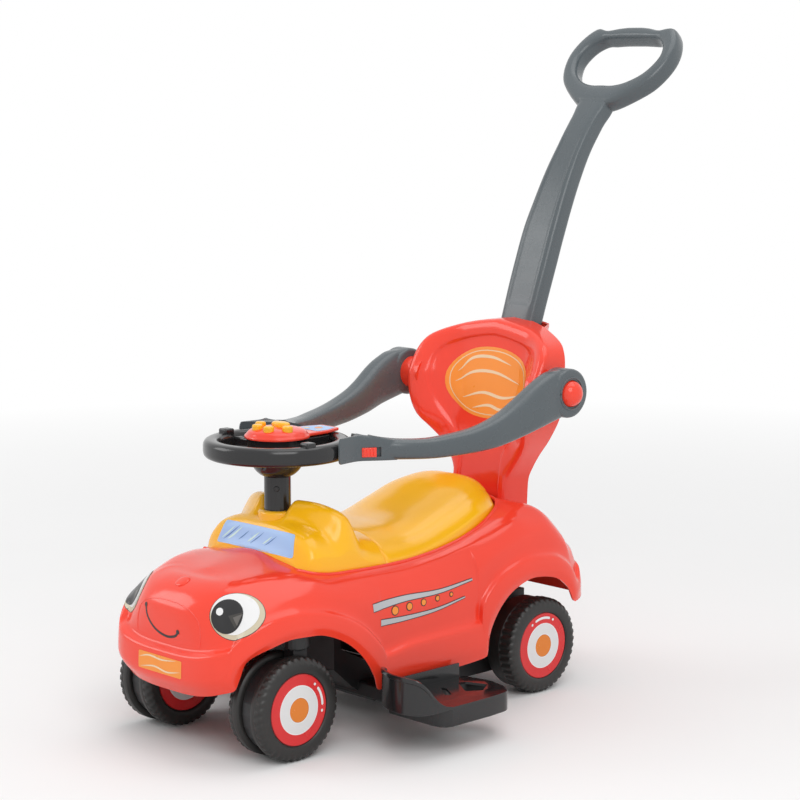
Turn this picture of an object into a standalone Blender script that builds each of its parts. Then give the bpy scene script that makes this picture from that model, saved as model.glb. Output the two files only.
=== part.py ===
"""Ride-on push car with caster front wheels, guard arms, steering wheel and push handle.

Metres, +Z up. The car faces -Y and its left side is +X. Wheel-axle mid point is y = 0
while the pieces are modelled; at the end everything hangs under one empty, which puts the
origin under the middle of the whole car, on the ground.
"""
import math

import bmesh
import bpy
from mathutils import Matrix, Vector

# Running clearance between neighbouring pieces
GAP = 0.0003
SHADOW_GAP = 0.0006

# Wheels and axles
WHEEL_RADIUS = 0.0625
WHEELBASE = 0.4288
TREAD_WIDTH = 0.020
LUG_DEPTH = 0.0012
LUG_COUNT = 14
DISC_RADIUS = 0.0433
DISC_RECESS = 0.0035
DISC_THICKNESS = 0.0015
AXLE_RADIUS = 0.0040
REAR_WHEEL_INSET = 0.0055
REAR_DRUM_WIDTH = 0.030
REAR_DRUM_RADIUS = 0.0600

# Front casters
CASTER_INSET = 0.0282
CASTER_TRAIL = 0.0200
CASTER_WEB = 0.0170
CASTER_WEB_RADIUS = 0.0560
CASTER_SIDE_PLAY = 0.0015
STEM_RADIUS = 0.0120
STEM_TOP = 0.1720

# Red body shell
BODY_HALF_WIDTH = 0.1330
FLARE = 0.0080
SHOULDER_INSET = 0.0150
BELT_INSET = 0.0295
NOSE_Y = -0.3160
TAIL_Y = 0.3060
NOSE_SQUARENESS = 4.7
TAIL_SQUARENESS = 8.0
BROW_SQUARENESS = 3.2
SHELL_WALL = 0.0026
FRONT_ARCH_Y = -0.2050
FRONT_ARCH_Z = 0.0290
FRONT_ARCH_RADIUS = 0.1200
REAR_ARCH_Y = 0.1900
REAR_ARCH_Z = 0.0665
REAR_ARCH_RADIUS = 0.0930
NOSE_LIP_Z = 0.0780
TAIL_LIP_Z = 0.1150
TAIL_BAND = 0.0400

# Yellow dash and seat, standing in a well in the body
SEAM_Y = -0.0410
SEAM_GAP = 0.0008
WELL_FRONT_Y = -0.1720
WELL_REAR_Y = 0.1960
WELL_INSET = 0.0330
SKIRT_FOOT_Z = 0.1860
MOULD_WALL = 0.0025

# Seat hinge
HINGE_INSET = 0.0072
HINGE_Z = 0.2333
HINGE_PIN_RADIUS = 0.0015
HINGE_EAR_X = 0.0120

# Deck under the seat, with its storage tub
DECK_THICKNESS = 0.0040
TUB_HALF_WIDTH = 0.0620
TUB_FRONT_Y = -0.0150
TUB_REAR_Y = 0.1450
TUB_DEPTH = 0.0700

# Steering
STEER_Y = -0.1300
COLUMN_RADIUS = 0.0165
COLUMN_TOP = 0.3200
COLUMN_FOOT = 0.1700
COLUMN_JOURNAL_RADIUS = 0.0110
RING_RADIUS = 0.0907
RING_TUBE_WIDTH = 0.0215
RING_LOW = 0.3380
RING_HIGH = 0.3610
BOWL_RADIUS = 0.0345
BOWL_FOOT = 0.3140
POD_RADIUS = 0.0401
POD_FOOT = 0.3620
POD_TOP = 0.3745
TRAY_REACH = 0.0885
BUTTON_TRAVEL = 0.0015
BUTTON_RADIUS = 0.0065

# Guard arms
PIVOT_Y = 0.2245
PIVOT_Z = 0.3960
PIVOT_X = 0.1310
ARM_THICKNESS = 0.0310
ARM_END_RADIUS = 0.0315
PIVOT_BUTTON_RADIUS = 0.0172
PIVOT_PIN_RADIUS = 0.0060
SADDLE_GAP = 0.0030
LATCH_LENGTH = 0.0180
LATCH_HEIGHT = 0.0115
LATCH_TRAVEL = 0.0060
LATCH_RIBS = 4
LATCH_PLACE = (0.0980, -0.0605, 0.3470)

# Backrest and push handle
BACK_LEAN = 0.1600
BACK_MID_Y = 0.2400
BACK_MID_Z = 0.3920
BACK_FOOT_HALF_WIDTH = 0.0480
BACK_FOOT_Z = 0.1863
BACK_KNEE_Z = 0.2620
BACK_WING = 0.0410
BACK_WALL = 0.0026
BACK_BOSS_RADIUS = 0.0210
BACK_OUTLINE_POINTS = 16
HANDLE_PLAY = 0.0005
LOOP_LEAN = 0.9000
LOOP_THICKNESS = 0.0270

# Footrests
FOOT_GAP = 0.0040
FOOT_WIDTH = 0.0940
FOOT_TOP_Z = 0.0580
FOOT_SKIRT_Z = 0.0340
FOOT_GUARD_Z = 0.1000
FOOT_UPSTAND_Z = 0.0760
FOOT_RIM = 0.0015
FOOT_SKIRT_Y = -0.0800
FOOT_WALL = 0.0030

# Black underbody
BELLY_HALF_WIDTH = 0.0660
BELLY_WALL = 0.0030
BRIDGE_TOP = 0.1580
BRIDGE_THICKNESS = 0.0080
REAR_BLOCK_TOP = 0.1250
BEAM_OVERLAP = 0.0150
BEAM_FRONT_Y = -0.0580
BEAM_REAR_Y = 0.0040
BEAM_FOOT_Z = 0.0360

COLOURS = {
    "red": ((0.86, 0.055, 0.025, 1.0), 0.28, 0.0),
    "yellow": ((0.93, 0.43, 0.01, 1.0), 0.30, 0.0),
    "grey": ((0.075, 0.085, 0.09, 1.0), 0.38, 0.0),
    "black": ((0.012, 0.012, 0.012, 1.0), 0.40, 0.0),
    "tyre": ((0.016, 0.015, 0.014, 1.0), 0.55, 0.0),
    "wheel_red": ((0.72, 0.02, 0.02, 1.0), 0.35, 0.0),
    "steel": ((0.60, 0.60, 0.62, 1.0), 0.30, 1.0),
}

SMOOTH_ANGLE = math.radians(32.0)

# Places that follow from the sizes above
REAR_AXLE_Y = WHEELBASE / 2
CASTER_Y = CASTER_TRAIL - WHEELBASE / 2
CASTER_X = BODY_HALF_WIDTH - CASTER_INSET
REAR_WHEEL_OUTER = BODY_HALF_WIDTH - REAR_WHEEL_INSET
WELL_HALF_WIDTH = BODY_HALF_WIDTH - WELL_INSET
FOOT_INNER_X = BODY_HALF_WIDTH + FLARE + FOOT_GAP
FOOT_OUTER_X = FOOT_INNER_X + FOOT_WIDTH
BEAM_HALF_LENGTH = FOOT_INNER_X + BEAM_OVERLAP
HINGE_Y = SEAM_Y + SEAM_GAP / 2 + HINGE_INSET
DASH_YS = (WELL_FRONT_Y, -0.1655, -0.1600, -0.1545, -0.143, -0.132, -0.121, -0.110, -0.099, -0.088, -0.077, -0.060,
           SEAM_Y - SEAM_GAP / 2)
SEAT_YS = (-0.008, 0.025, 0.060, 0.092, 0.120, 0.143, 0.162, 0.177, 0.188, WELL_REAR_Y - 0.0025,
           WELL_REAR_Y - 0.0006)


# Scene, collections and materials

def clear_scene():
    for item in list(bpy.data.objects):
        bpy.data.objects.remove(item, do_unlink=True)


def collection(name):
    found = bpy.data.collections.get(name) or bpy.data.collections.new(name)
    if name not in bpy.context.scene.collection.children:
        bpy.context.scene.collection.children.link(found)
    return found


def material(name, colour):
    base, rough, metal = COLOURS[colour]
    made = bpy.data.materials.new(name)
    made.use_nodes = True
    shader = made.node_tree.nodes["Principled BSDF"]
    shader.inputs["Base Color"].default_value = base
    shader.inputs["Roughness"].default_value = rough
    shader.inputs["Metallic"].default_value = metal
    made.diffuse_color = base
    return made


def place_origin(item, origin):
    origin = Vector(origin)
    item.data.transform(Matrix.Translation(-origin))
    item.location = origin


def part(name, mesh, colour, origin=(0.0, 0.0, 0.0)):
    mesh.name = name
    item = bpy.data.objects.new(name, mesh)
    collection("push_car").objects.link(item)
    mesh.materials.append(material(name, colour))
    place_origin(item, origin)
    mesh.shade_smooth()
    mesh.set_sharp_from_angle(angle=SMOOTH_ANGLE)
    return item


def guide(name, mesh):
    item = bpy.data.objects.new(name, mesh)
    collection("cutters").objects.link(item)
    item.hide_render = True
    item.display_type = "WIRE"
    return item


def boolean(item, other, operation):
    step = item.modifiers.new(other.name, "BOOLEAN")
    step.operation = operation
    step.object = other
    return step


def cut(item, name, mesh):
    boolean(item, guide(name, mesh), "DIFFERENCE")


def join(item, name, mesh):
    boolean(item, guide(name, mesh), "UNION")


# Curves through a few points

def smooth_value(keys, at):
    """Height of a smooth curve through (position, value) keys, without overshoot."""
    if at <= keys[0][0]:
        return keys[0][1]
    if at >= keys[-1][0]:
        return keys[-1][1]
    slopes = [(b[1] - a[1]) / (b[0] - a[0]) for a, b in zip(keys, keys[1:])]
    tangents = [slopes[0]]
    for left, right in zip(slopes, slopes[1:]):
        tangents.append(0.0 if left * right <= 0.0 else 2.0 * left * right / (left + right))
    tangents.append(slopes[-1])
    index = max(i for i in range(len(keys) - 1) if keys[i][0] <= at)
    (p0, v0), (p1, v1) = keys[index], keys[index + 1]
    span = p1 - p0
    t = (at - p0) / span
    h00 = (1 + 2 * t) * (1 - t) ** 2
    h10 = t * (1 - t) ** 2
    h01 = t * t * (3 - 2 * t)
    h11 = t * t * (t - 1)
    return h00 * v0 + h10 * span * tangents[index] + h01 * v1 + h11 * span * tangents[index + 1]


def smooth_path(points, count, closed=False):
    """Evenly indexed points on a Catmull-Rom curve through the given points."""
    keys = [Vector(p) for p in points]
    total = len(keys)
    spans = total if closed else total - 1
    made = []
    steps = count if closed else count - 1
    for i in range(count):
        place = spans * i / steps
        k = min(int(place), spans - 1)
        t = place - k
        if closed:
            p0, p1, p2, p3 = (keys[(k + d) % total] for d in (-1, 0, 1, 2))
        else:
            p1, p2 = keys[k], keys[k + 1]
            p0 = keys[k - 1] if k > 0 else p1 + (p1 - p2)
            p3 = keys[k + 2] if k + 2 < total else p2 + (p2 - p1)
        made.append(0.5 * (2 * p1 + (p2 - p0) * t + (2 * p0 - 5 * p1 + 4 * p2 - p3) * t * t
                           + (3 * p1 - p0 - 3 * p2 + p3) * t ** 3))
    return made


# Meshes

def finished(bm, outward=True):
    if outward:
        bmesh.ops.recalc_face_normals(bm, faces=bm.faces)
    mesh = bpy.data.meshes.new("mesh")
    bm.to_mesh(mesh)
    bm.free()
    return mesh


def box_mesh(low, high, bevel=0.0, segments=2):
    low, high = Vector(low), Vector(high)
    bm = bmesh.new()
    bmesh.ops.create_cube(bm, size=1.0)
    size = high - low
    bmesh.ops.scale(bm, vec=size, verts=bm.verts)
    bmesh.ops.translate(bm, vec=(low + high) / 2, verts=bm.verts)
    if bevel:
        bmesh.ops.bevel(bm, geom=bm.edges[:], offset=bevel, segments=segments, profile=0.5,
                        affect="EDGES")
    return finished(bm)


def cylinder_mesh(start, end, radius, sides=24, end_radius=None, bevel=0.0):
    start, end = Vector(start), Vector(end)
    axis = end - start
    bm = bmesh.new()
    bmesh.ops.create_cone(bm, cap_ends=True, segments=sides, radius1=radius,
                          radius2=radius if end_radius is None else end_radius,
                          depth=axis.length)
    if bevel:
        rims = [e for e in bm.edges if abs(e.verts[0].co.z - e.verts[1].co.z) < 1e-6]
        bmesh.ops.bevel(bm, geom=rims, offset=bevel, segments=2, profile=0.5, affect="EDGES")
    turn = axis.to_track_quat("Z", "Y").to_matrix().to_4x4()
    bmesh.ops.transform(bm, matrix=Matrix.Translation((start + end) / 2) @ turn, verts=bm.verts)
    return finished(bm)


def outline_mesh(points, low, high, axis="Z"):
    """A flat outline pulled straight along one axis."""
    lift = {"Z": lambda a, b, c: (a, b, c), "X": lambda a, b, c: (c, a, b),
            "Y": lambda a, b, c: (a, c, b)}[axis]
    bm = bmesh.new()
    foot = [bm.verts.new(lift(p[0], p[1], low)) for p in points]
    head = [bm.verts.new(lift(p[0], p[1], high)) for p in points]
    bm.faces.new(foot)
    bm.faces.new(head)
    for i in range(len(points)):
        k = (i + 1) % len(points)
        bm.faces.new((foot[i], foot[k], head[k], head[i]))
    return finished(bm)


def loft_mesh(rings, closed_rings=True, caps=True, loop=False):
    """Quads between rings of equally many points, capped at both ends."""
    bm = bmesh.new()
    rows = [[bm.verts.new(p) for p in ring] for ring in rings]
    count = len(rows[0])
    last = count if closed_rings else count - 1
    pairs = list(zip(rows, rows[1:]))
    if loop:
        pairs.append((rows[-1], rows[0]))
    for a, b in pairs:
        for i in range(last):
            k = (i + 1) % count
            bm.faces.new((a[i], a[k], b[k], b[i]))
    if caps and not loop:
        bm.faces.new(rows[0])
        bm.faces.new(rows[-1])
    return finished(bm)


def turned_mesh(profile, centre, axis="Z", sides=40, bump=None):
    """A closed (radius, along) profile turned about an axis; bump(i, k) adds to a radius."""
    rings = []
    for i in range(sides):
        angle = math.tau * i / sides - math.pi / 2
        ring = []
        for k, (radius, along) in enumerate(profile):
            r = radius + (bump(i, k) if bump else 0.0)
            c, s = r * math.cos(angle), r * math.sin(angle)
            spot = {"Z": (c, s, along), "X": (along, c, s), "Y": (s, along, c)}[axis]
            ring.append(Vector(spot) + Vector(centre))
        rings.append(ring)
    return loft_mesh(rings, closed_rings=True, caps=False, loop=True)


def screw_part(name, profile, colour, origin, axis="Z", steps=32):
    """A profile that starts and ends on the axis, turned with a Screw modifier."""
    bm = bmesh.new()
    verts = [bm.verts.new((r, 0.0, z)) for r, z in profile]
    for a, b in zip(verts, verts[1:]):
        bm.edges.new((a, b))
    item = part(name, finished(bm, outward=False), colour)
    spin = item.modifiers.new("turn", "SCREW")
    spin.axis = "Z"
    spin.angle = math.tau
    spin.steps = steps
    spin.render_steps = steps
    spin.use_merge_vertices = True
    spin.merge_threshold = 0.00001
    item.location = origin
    if axis == "X":
        item.rotation_euler = (0.0, math.pi / 2, 0.0)
    if axis == "-X":
        item.rotation_euler = (0.0, -math.pi / 2, 0.0)
    return item


def rounded(points, radius, steps=3):
    """Rounds each corner of a flat outline with an arc of the given radius."""
    made = []
    total = len(points)
    for i in range(total):
        before, here, after = (Vector(points[(i + d) % total]) for d in (-1, 0, 1))
        a = (before - here).normalized()
        b = (after - here).normalized()
        half = a.angle(b) / 2
        reach = min(radius / math.tan(half), 0.45 * min((before - here).length, (after - here).length))
        start, end = here + a * reach, here + b * reach
        for k in range(steps + 1):
            t = k / steps
            made.append((1 - t) ** 2 * start + 2 * t * (1 - t) * here + t * t * end)
    return made


# Red body shell

def plan_x(y, half_width, nose, tail, nose_power, tail_power):
    """Half-width at y of an outline with squared-off rounded ends."""
    reach, power = (nose, nose_power) if y < 0.0 else (tail, tail_power)
    share = min(abs(y / reach), 1.0)
    return half_width * (1.0 - share ** power) ** (1.0 / power)


def plan_y(x, half_width, reach, power):
    share = min(x / half_width, 1.0)
    return reach * (1.0 - share ** power) ** (1.0 / power)


SHOULDER_HEIGHT = ((-0.30, 0.196), (-0.24, 0.2035), (-0.18, 0.2075), (-0.12, 0.199), (-0.04, 0.196),
                   (0.035, 0.201), (0.10, 0.214), (0.157, 0.232), (0.20, 0.240), (0.25, 0.216),
                   (0.29, 0.190))
BELT_HEIGHT = ((-0.265, 0.2095), (-0.20, 0.2165), (-0.12, 0.2075), (-0.04, 0.2045), (0.035, 0.2095),
               (0.10, 0.222), (0.157, 0.240), (0.205, 0.2485), (0.24, 0.2290), (0.275, 0.206))
HOOD_HEIGHT = ((-0.282, 0.2045), (-0.25, 0.2140), (-0.20, 0.2240), (-0.17, 0.2290), (0.0, 0.222),
               (0.10, 0.232), (0.20, 0.2550), (0.24, 0.2360), (0.27, 0.212))


class Station:
    """One upright slice of the shell, from its lip over the crest of the flare."""

    def __init__(self, lip, crest, across=None):
        self.lip = lip
        self.crest = crest
        self.across = across


def shell_stations():
    stations = []
    for across in (0.0, 0.025, 0.050, 0.072, 0.090, 0.104):
        share = (across / 0.104) ** 3
        lip_z = NOSE_LIP_Z + 0.015 * share
        stations.append(Station((None, lip_z), (None, lip_z + 0.048 - 0.002 * share), across))
    for angle in (40, 54, 69, 84, 99, 114, 129, 142, 154, 163):
        a = math.radians(angle)
        y = FRONT_ARCH_Y - FRONT_ARCH_RADIUS * math.cos(a)
        z = FRONT_ARCH_Z + FRONT_ARCH_RADIUS * math.sin(a)
        dy = smooth_value(((40, 0.004), (90, 0.002), (135, 0.018), (163, 0.013)), angle)
        dz = smooth_value(((40, 0.039), (90, 0.026), (135, 0.020), (163, 0.038)), angle)
        stations.append(Station((y, z), (y + dy, z + dz)))
    for y in (-0.030, 0.040):
        stations.append(Station((y, 0.066 + 0.03 * y), (y, 0.110 + 0.03 * y)))
    for angle in (3, 20, 42, 64, 87, 109, 131, 150):
        a = math.radians(angle)
        y = REAR_ARCH_Y - REAR_ARCH_RADIUS * math.cos(a)
        z = REAR_ARCH_Z + REAR_ARCH_RADIUS * math.sin(a)
        dy = smooth_value(((3, -0.010), (45, -0.018), (90, 0.0), (150, 0.010)), angle)
        dz = smooth_value(((3, 0.042), (45, 0.024), (90, 0.025), (150, 0.026)), angle)
        stations.append(Station((y, z), (y + dy, z + dz)))
    for across in (0.112, 0.080, 0.042, 0.0):
        stations.append(Station((None, TAIL_LIP_Z), (None, TAIL_LIP_Z + TAIL_BAND), across))
    return stations


def shell_point(station, spot, half_width, nose, tail, nose_power, z):
    """A point of one long line of the shell; spot is the y that the slice asks for."""
    if station.across is None:
        y = max(min(spot, 0.93 * tail), 0.93 * nose)
        return Vector((plan_x(y, half_width, nose, tail, nose_power, TAIL_SQUARENESS), y, z))
    reach, power = (nose, nose_power) if station.lip[1] < 0.099 else (tail, TAIL_SQUARENESS)
    x = station.across * half_width / (BODY_HALF_WIDTH + FLARE)
    return Vector((x, plan_y(x, half_width, reach, power), z))


def shell_rows():
    """Long lines of the shell, each from the nose to the tail."""
    stations = shell_stations()
    full = BODY_HALF_WIDTH + FLARE
    rows = [[] for _ in range(9)]
    for st in stations:
        nose_side = st.across is not None and st.lip[1] < 0.099
        lip_y, crest_y = (st.lip[0] or 0.0), (st.crest[0] or 0.0)
        lip_z, crest_z = st.lip[1], st.crest[1]
        rows[0].append(shell_point(st, lip_y, full - 0.003, NOSE_Y + 0.013, TAIL_Y + 0.005,
                                   NOSE_SQUARENESS, lip_z))
        rows[1].append(shell_point(st, 0.6 * lip_y + 0.4 * crest_y, full, NOSE_Y, TAIL_Y + 0.001,
                                   NOSE_SQUARENESS, 0.55 * lip_z + 0.45 * crest_z))
        rows[2].append(shell_point(st, crest_y, full - 0.0015, NOSE_Y + 0.0015, TAIL_Y - 0.002,
                                   NOSE_SQUARENESS, crest_z))
        rows[3].append(shell_point(st, crest_y, BODY_HALF_WIDTH, NOSE_Y + 0.0120, TAIL_Y - 0.005,
                                   4.6, crest_z + 0.008))
        shoulder_y = rows[3][-1].y * 0.955
        shoulder_z = smooth_value(SHOULDER_HEIGHT, shoulder_y)
        middle_z = 0.5 * (crest_z + 0.008 + shoulder_z)
        if nose_side:
            middle_z = 0.172
        rows[4].append(shell_point(st, rows[3][-1].y * 0.985, BODY_HALF_WIDTH - 0.001,
                                   NOSE_Y + 0.0095, TAIL_Y - 0.013, BROW_SQUARENESS, middle_z))
        rows[5].append(shell_point(st, shoulder_y, BODY_HALF_WIDTH - SHOULDER_INSET, NOSE_Y + 0.0240, TAIL_Y - 0.028,
                                   BROW_SQUARENESS, shoulder_z))
        belt_y = shoulder_y * 0.93
        rows[6].append(shell_point(st, belt_y, BODY_HALF_WIDTH - BELT_INSET, NOSE_Y + 0.0480, TAIL_Y - 0.053,
                                   BROW_SQUARENESS, smooth_value(BELT_HEIGHT, belt_y)))
        belt = rows[6][-1]
        spine_y = belt.y * 0.90
        middle = Vector((belt.x * 0.55, 0.55 * belt.y + 0.45 * spine_y, 0.0))
        middle.z = 0.45 * smooth_value(BELT_HEIGHT, belt.y) + 0.55 * smooth_value(HOOD_HEIGHT, middle.y)
        rows[7].append(middle)
        rows[8].append(Vector((0.0, spine_y, smooth_value(HOOD_HEIGHT, spine_y))))
    return rows


def well_outline(grow=0.0):
    """Plan of the hole that the yellow dash and seat stand in."""
    front = WELL_FRONT_Y
    side = [(dash_half(y) + grow, max(y, front) - (grow if y <= front else 0.0)) for y in DASH_YS]
    side += [(well_half(y) + grow, y) for y in SEAT_YS]
    rear = [(0.0, WELL_REAR_Y + grow)]
    return side + rear + [(-x, y) for x, y in reversed(side)]


def plug_seat():
    """Place and tilt of the nose plug, half way up the slope behind the nose."""
    rows = shell_rows()
    low, high = rows[5][0], rows[6][0]
    return (low + high) / 2, math.atan2(high.z - low.z, high.y - low.y)


def body_shell():
    rows = shell_rows()
    bm = bmesh.new()
    grid = [[bm.verts.new(p) for p in row] for row in rows]
    for a, b in zip(grid, grid[1:]):
        for i in range(len(a) - 1):
            bm.faces.new((a[i], a[i + 1], b[i + 1], b[i]))
    item = part("body_shell", finished(bm), "red")
    mirror = item.modifiers.new("other side", "MIRROR")
    mirror.merge_threshold = 0.00005
    wall = item.modifiers.new("wall", "SOLIDIFY")
    wall.thickness = SHELL_WALL
    wall.offset = -1.0
    wall.use_even_offset = False
    cut(item, "cabin_well", outline_mesh(well_outline(), 0.15, 0.32))
    slot = BACK_FOOT_HALF_WIDTH + SHADOW_GAP
    cut(item, "backrest_slot", box_mesh((-slot, back_plane(BACK_KNEE_Z) - 2 * SHADOW_GAP, 0.17),
                                        (slot, back_edge(BACK_KNEE_Z) + SHADOW_GAP, 0.32)))
    for side in (-1, 1):
        join(item, "front_boss", cylinder_mesh((side * 0.055, -0.208, BRIDGE_TOP + GAP),
                                               (side * 0.055, -0.208, 0.2210), 0.0060, 14))
        join(item, "rear_boss", cylinder_mesh((side * 0.058, 0.2320, REAR_BLOCK_TOP + GAP),
                                              (side * 0.058, 0.2320, 0.2375), 0.0055, 14))
    seat, tilt = plug_seat()
    out = Vector((0.0, -math.sin(tilt), math.cos(tilt)))
    cut(item, "hood_plug_bore", cylinder_mesh(seat - out * 0.02, seat + out * 0.02, 0.0086, 14))
    return item


# Yellow dash and seat lid

def dash_height(x, y):
    """Top of the dash: sloping screen, flat shelf, collar and two side humps."""
    shelf = smooth_value(((-0.172, 0.2290), (-0.168, 0.2360), (-0.160, 0.2555), (-0.155, 0.2610),
                          (-0.145, 0.2640), (-0.10, 0.2580), (-0.06, 0.2460), (-0.041, 0.2410)), y)
    edge = smooth_value(((0.0, 0.0), (0.045, 0.002), (0.075, 0.010), (0.090, 0.022), (0.1, 0.036)), x)
    hump_t = min(max((x - 0.032) / 0.052, 0.0), 1.0)
    hump_x = 0.032 + 0.052 * hump_t
    hump_y = -0.122 + 0.024 * hump_t
    away = math.hypot(x - hump_x, (y - hump_y) * 0.85)
    hump = (0.026 + 0.004 * hump_t) * math.exp(-(away / 0.0150) ** 2.6)
    return max(shelf - edge + hump, 0.2)


def seat_height(x, y):
    """Top of the seat: low in front, rising to a lip in front of the backrest."""
    mid = smooth_value(((-0.041, 0.2410), (0.0, 0.2415), (0.04, 0.2480), (0.09, 0.2640),
                        (0.135, 0.2790), (0.160, 0.2815), (0.180, 0.2770), (0.196, 0.2620)), y)
    half = well_half(y)
    share = min(abs(x) / half, 1.0)
    fall = 0.034 * share ** 3.4
    dish = 0.004 * (1.0 - share ** 2) * smooth_value(((0.0, 0.0), (0.05, 1.0), (0.12, 1.0), (0.17, 0.0)), y)
    return mid - fall - dish


def well_half(y):
    share = max(0.0, (y - 0.02) / (WELL_REAR_Y - 0.02))
    return WELL_HALF_WIDTH * (1.0 - min(share, 1.0) ** 3.6) ** (1.0 / 3.6)


def skirt_foot(y):
    """Foot of a cover's skirt; it rises to the rear, so that the lid swings up clear of the well."""
    rise = smooth_value(((0.06, 0.0), (0.12, 0.0317), (0.16, 0.0347), (0.196, 0.0370)), y)
    return SKIRT_FOOT_Z + GAP + rise


def cover_mesh(ys, half_at, height, shares):
    """Half of a top skin over the plan, with a skirt down to the deck; open at x = 0."""
    bm = bmesh.new()
    columns = []
    for y in ys:
        half = half_at(y) - SHADOW_GAP
        inset = SHADOW_GAP * min(max((y - 0.1) / 0.08, 0.0), 1.0)
        column = [Vector((half * s, y - inset, height(half * s, y))) for s in shares]
        column.append(Vector((half, y - inset, skirt_foot(y))))
        columns.append([bm.verts.new(p) for p in column])
    for a, b in zip(columns, columns[1:]):
        for i in range(len(a) - 1):
            bm.faces.new((a[i], a[i + 1], b[i + 1], b[i]))
    return bm, columns


def dash_half(y):
    side = WELL_HALF_WIDTH
    return smooth_value(((WELL_FRONT_Y, 0.86 * side), (-0.165, 0.935 * side), (-0.150, 0.985 * side), (-0.12, side),
                         (0.0, side)), y)


def end_wall(bm, column):
    """Closes one end of a cover with a wall down to the deck."""
    foot = [bm.verts.new((v.co.x, v.co.y, SKIRT_FOOT_Z + GAP)) for v in column[:-2]]
    foot.append(column[-1])
    for i in range(len(foot) - 1):
        bm.faces.new((column[i], foot[i], foot[i + 1], column[i + 1]))


def add_cover_modifiers(item):
    mirror = item.modifiers.new("other side", "MIRROR")
    mirror.merge_threshold = 0.00005
    wall = item.modifiers.new("wall", "SOLIDIFY")
    wall.thickness = MOULD_WALL
    wall.offset = -1.0
    wall.use_even_offset = True


def dash_cowl():
    ys = [max(y, WELL_FRONT_Y + SHADOW_GAP) for y in DASH_YS]
    shares = (0.0, 0.20, 0.34, 0.46, 0.58, 0.70, 0.82, 0.92, 1.0)
    bm, columns = cover_mesh(ys, dash_half, dash_height, shares)
    end_wall(bm, columns[0])
    end_wall(bm, columns[-1])
    item = part("dash_cowl", finished(bm), "yellow")
    add_cover_modifiers(item)
    join(item, "column_collar", cylinder_mesh((0.0, STEER_Y, 0.2530), (0.0, STEER_Y, 0.2725), 0.0240, 20,
                                              bevel=0.0020))
    cut(item, "column_bore", cylinder_mesh((0.0, STEER_Y, 0.20), (0.0, STEER_Y, 0.30),
                                           COLUMN_RADIUS + GAP, 20))
    return item


def seat_lid():
    start = SEAM_Y + SEAM_GAP / 2
    ys = [start, start + 0.002, start + 0.008] + list(SEAT_YS)
    shares = (0.0, 0.3, 0.55, 0.75, 0.90, 0.975, 1.0)

    def lid_height(x, y):
        drop = max(0.0, 1.0 - (y - start) / 0.007)
        return seat_height(x, y) - 0.0068 * (1.0 - math.sqrt(max(0.0, 1.0 - drop * drop)))

    bm, columns = cover_mesh(ys, well_half, lid_height, shares)
    for y, column in zip(ys, columns):
        column[-1].co.z += 0.0010 * min(max((-0.028 - y) / 0.006, 0.0), 1.0)
    item = part("seat_lid", finished(bm), "yellow", (0.0, HINGE_Y, HINGE_Z))
    add_cover_modifiers(item)
    reach = HINGE_EAR_X - 2 * GAP
    join(item, "lid_barrel", cylinder_mesh((-reach, HINGE_Y, HINGE_Z), (reach, HINGE_Y, HINGE_Z), 0.0036, 16))
    join(item, "lid_web", box_mesh((-reach, HINGE_Y - 0.0008, HINGE_Z), (reach, HINGE_Y + 0.0022, HINGE_Z + 0.0062)))
    cut(item, "lid_pin_bore", cylinder_mesh((-0.03, HINGE_Y, HINGE_Z), (0.03, HINGE_Y, HINGE_Z),
                                            HINGE_PIN_RADIUS + GAP, 12))
    return item


def seat_hinge_pin():
    reach = HINGE_EAR_X + 0.0050
    mesh = cylinder_mesh((-reach, HINGE_Y, HINGE_Z), (reach, HINGE_Y, HINGE_Z), HINGE_PIN_RADIUS, 12)
    return part("seat_hinge_pin", mesh, "steel")


# Deck under the seat, with the storage tub

def tub_outline(grow):
    half, front, rear = TUB_HALF_WIDTH + grow, TUB_FRONT_Y - grow, TUB_REAR_Y + grow
    corners = [(-half, front), (half, front), (half, rear), (-half, rear)]
    return [tuple(p) for p in rounded(corners, 0.012 + grow, 2)]


def inner_deck():
    top = SKIRT_FOOT_Z
    low = top - DECK_THICKNESS
    item = part("inner_deck", outline_mesh(well_outline(0.008), low, top), "red")
    join(item, "deck_rear_shelf", box_mesh((-0.050, 0.12, low), (0.050, 0.262, top)))
    wall = MOULD_WALL
    join(item, "tub_outside", outline_mesh(tub_outline(wall), top - TUB_DEPTH, top - 0.001))
    for side in (-1, 1):
        join(item, "front_post", cylinder_mesh((side * 0.048, -0.150, BRIDGE_TOP + GAP),
                                               (side * 0.048, -0.150, top - 0.001), 0.006, 14))
        join(item, "rear_post", cylinder_mesh((side * 0.040, 0.2000, REAR_BLOCK_TOP + GAP),
                                              (side * 0.040, 0.2000, top - 0.001), 0.006, 14))
        join(item, "hinge_ear", box_mesh((side * (HINGE_EAR_X + 0.0020) - 0.0020, HINGE_Y - 0.0018, top - 0.001),
                                         (side * (HINGE_EAR_X + 0.0020) + 0.0020, HINGE_Y + 0.0018, HINGE_Z)))
        join(item, "hinge_eye", cylinder_mesh((side * HINGE_EAR_X, HINGE_Y, HINGE_Z),
                                              (side * (HINGE_EAR_X + 0.0040), HINGE_Y, HINGE_Z), 0.0034, 14))
    join(item, "column_socket", cylinder_mesh((0.0, STEER_Y, top - 0.020), (0.0, STEER_Y, top - 0.001),
                                              COLUMN_JOURNAL_RADIUS + 0.0045, 16))
    cut(item, "tub_inside", outline_mesh(tub_outline(0.0), top - TUB_DEPTH + wall, top + 0.03))
    cut(item, "column_seat", cylinder_mesh((0.0, STEER_Y, top - 0.03), (0.0, STEER_Y, top + 0.01),
                                           COLUMN_JOURNAL_RADIUS + GAP, 16))
    cut(item, "ear_bore", cylinder_mesh((-0.03, HINGE_Y, HINGE_Z), (0.03, HINGE_Y, HINGE_Z),
                                        HINGE_PIN_RADIUS + GAP, 12))
    return item


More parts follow.
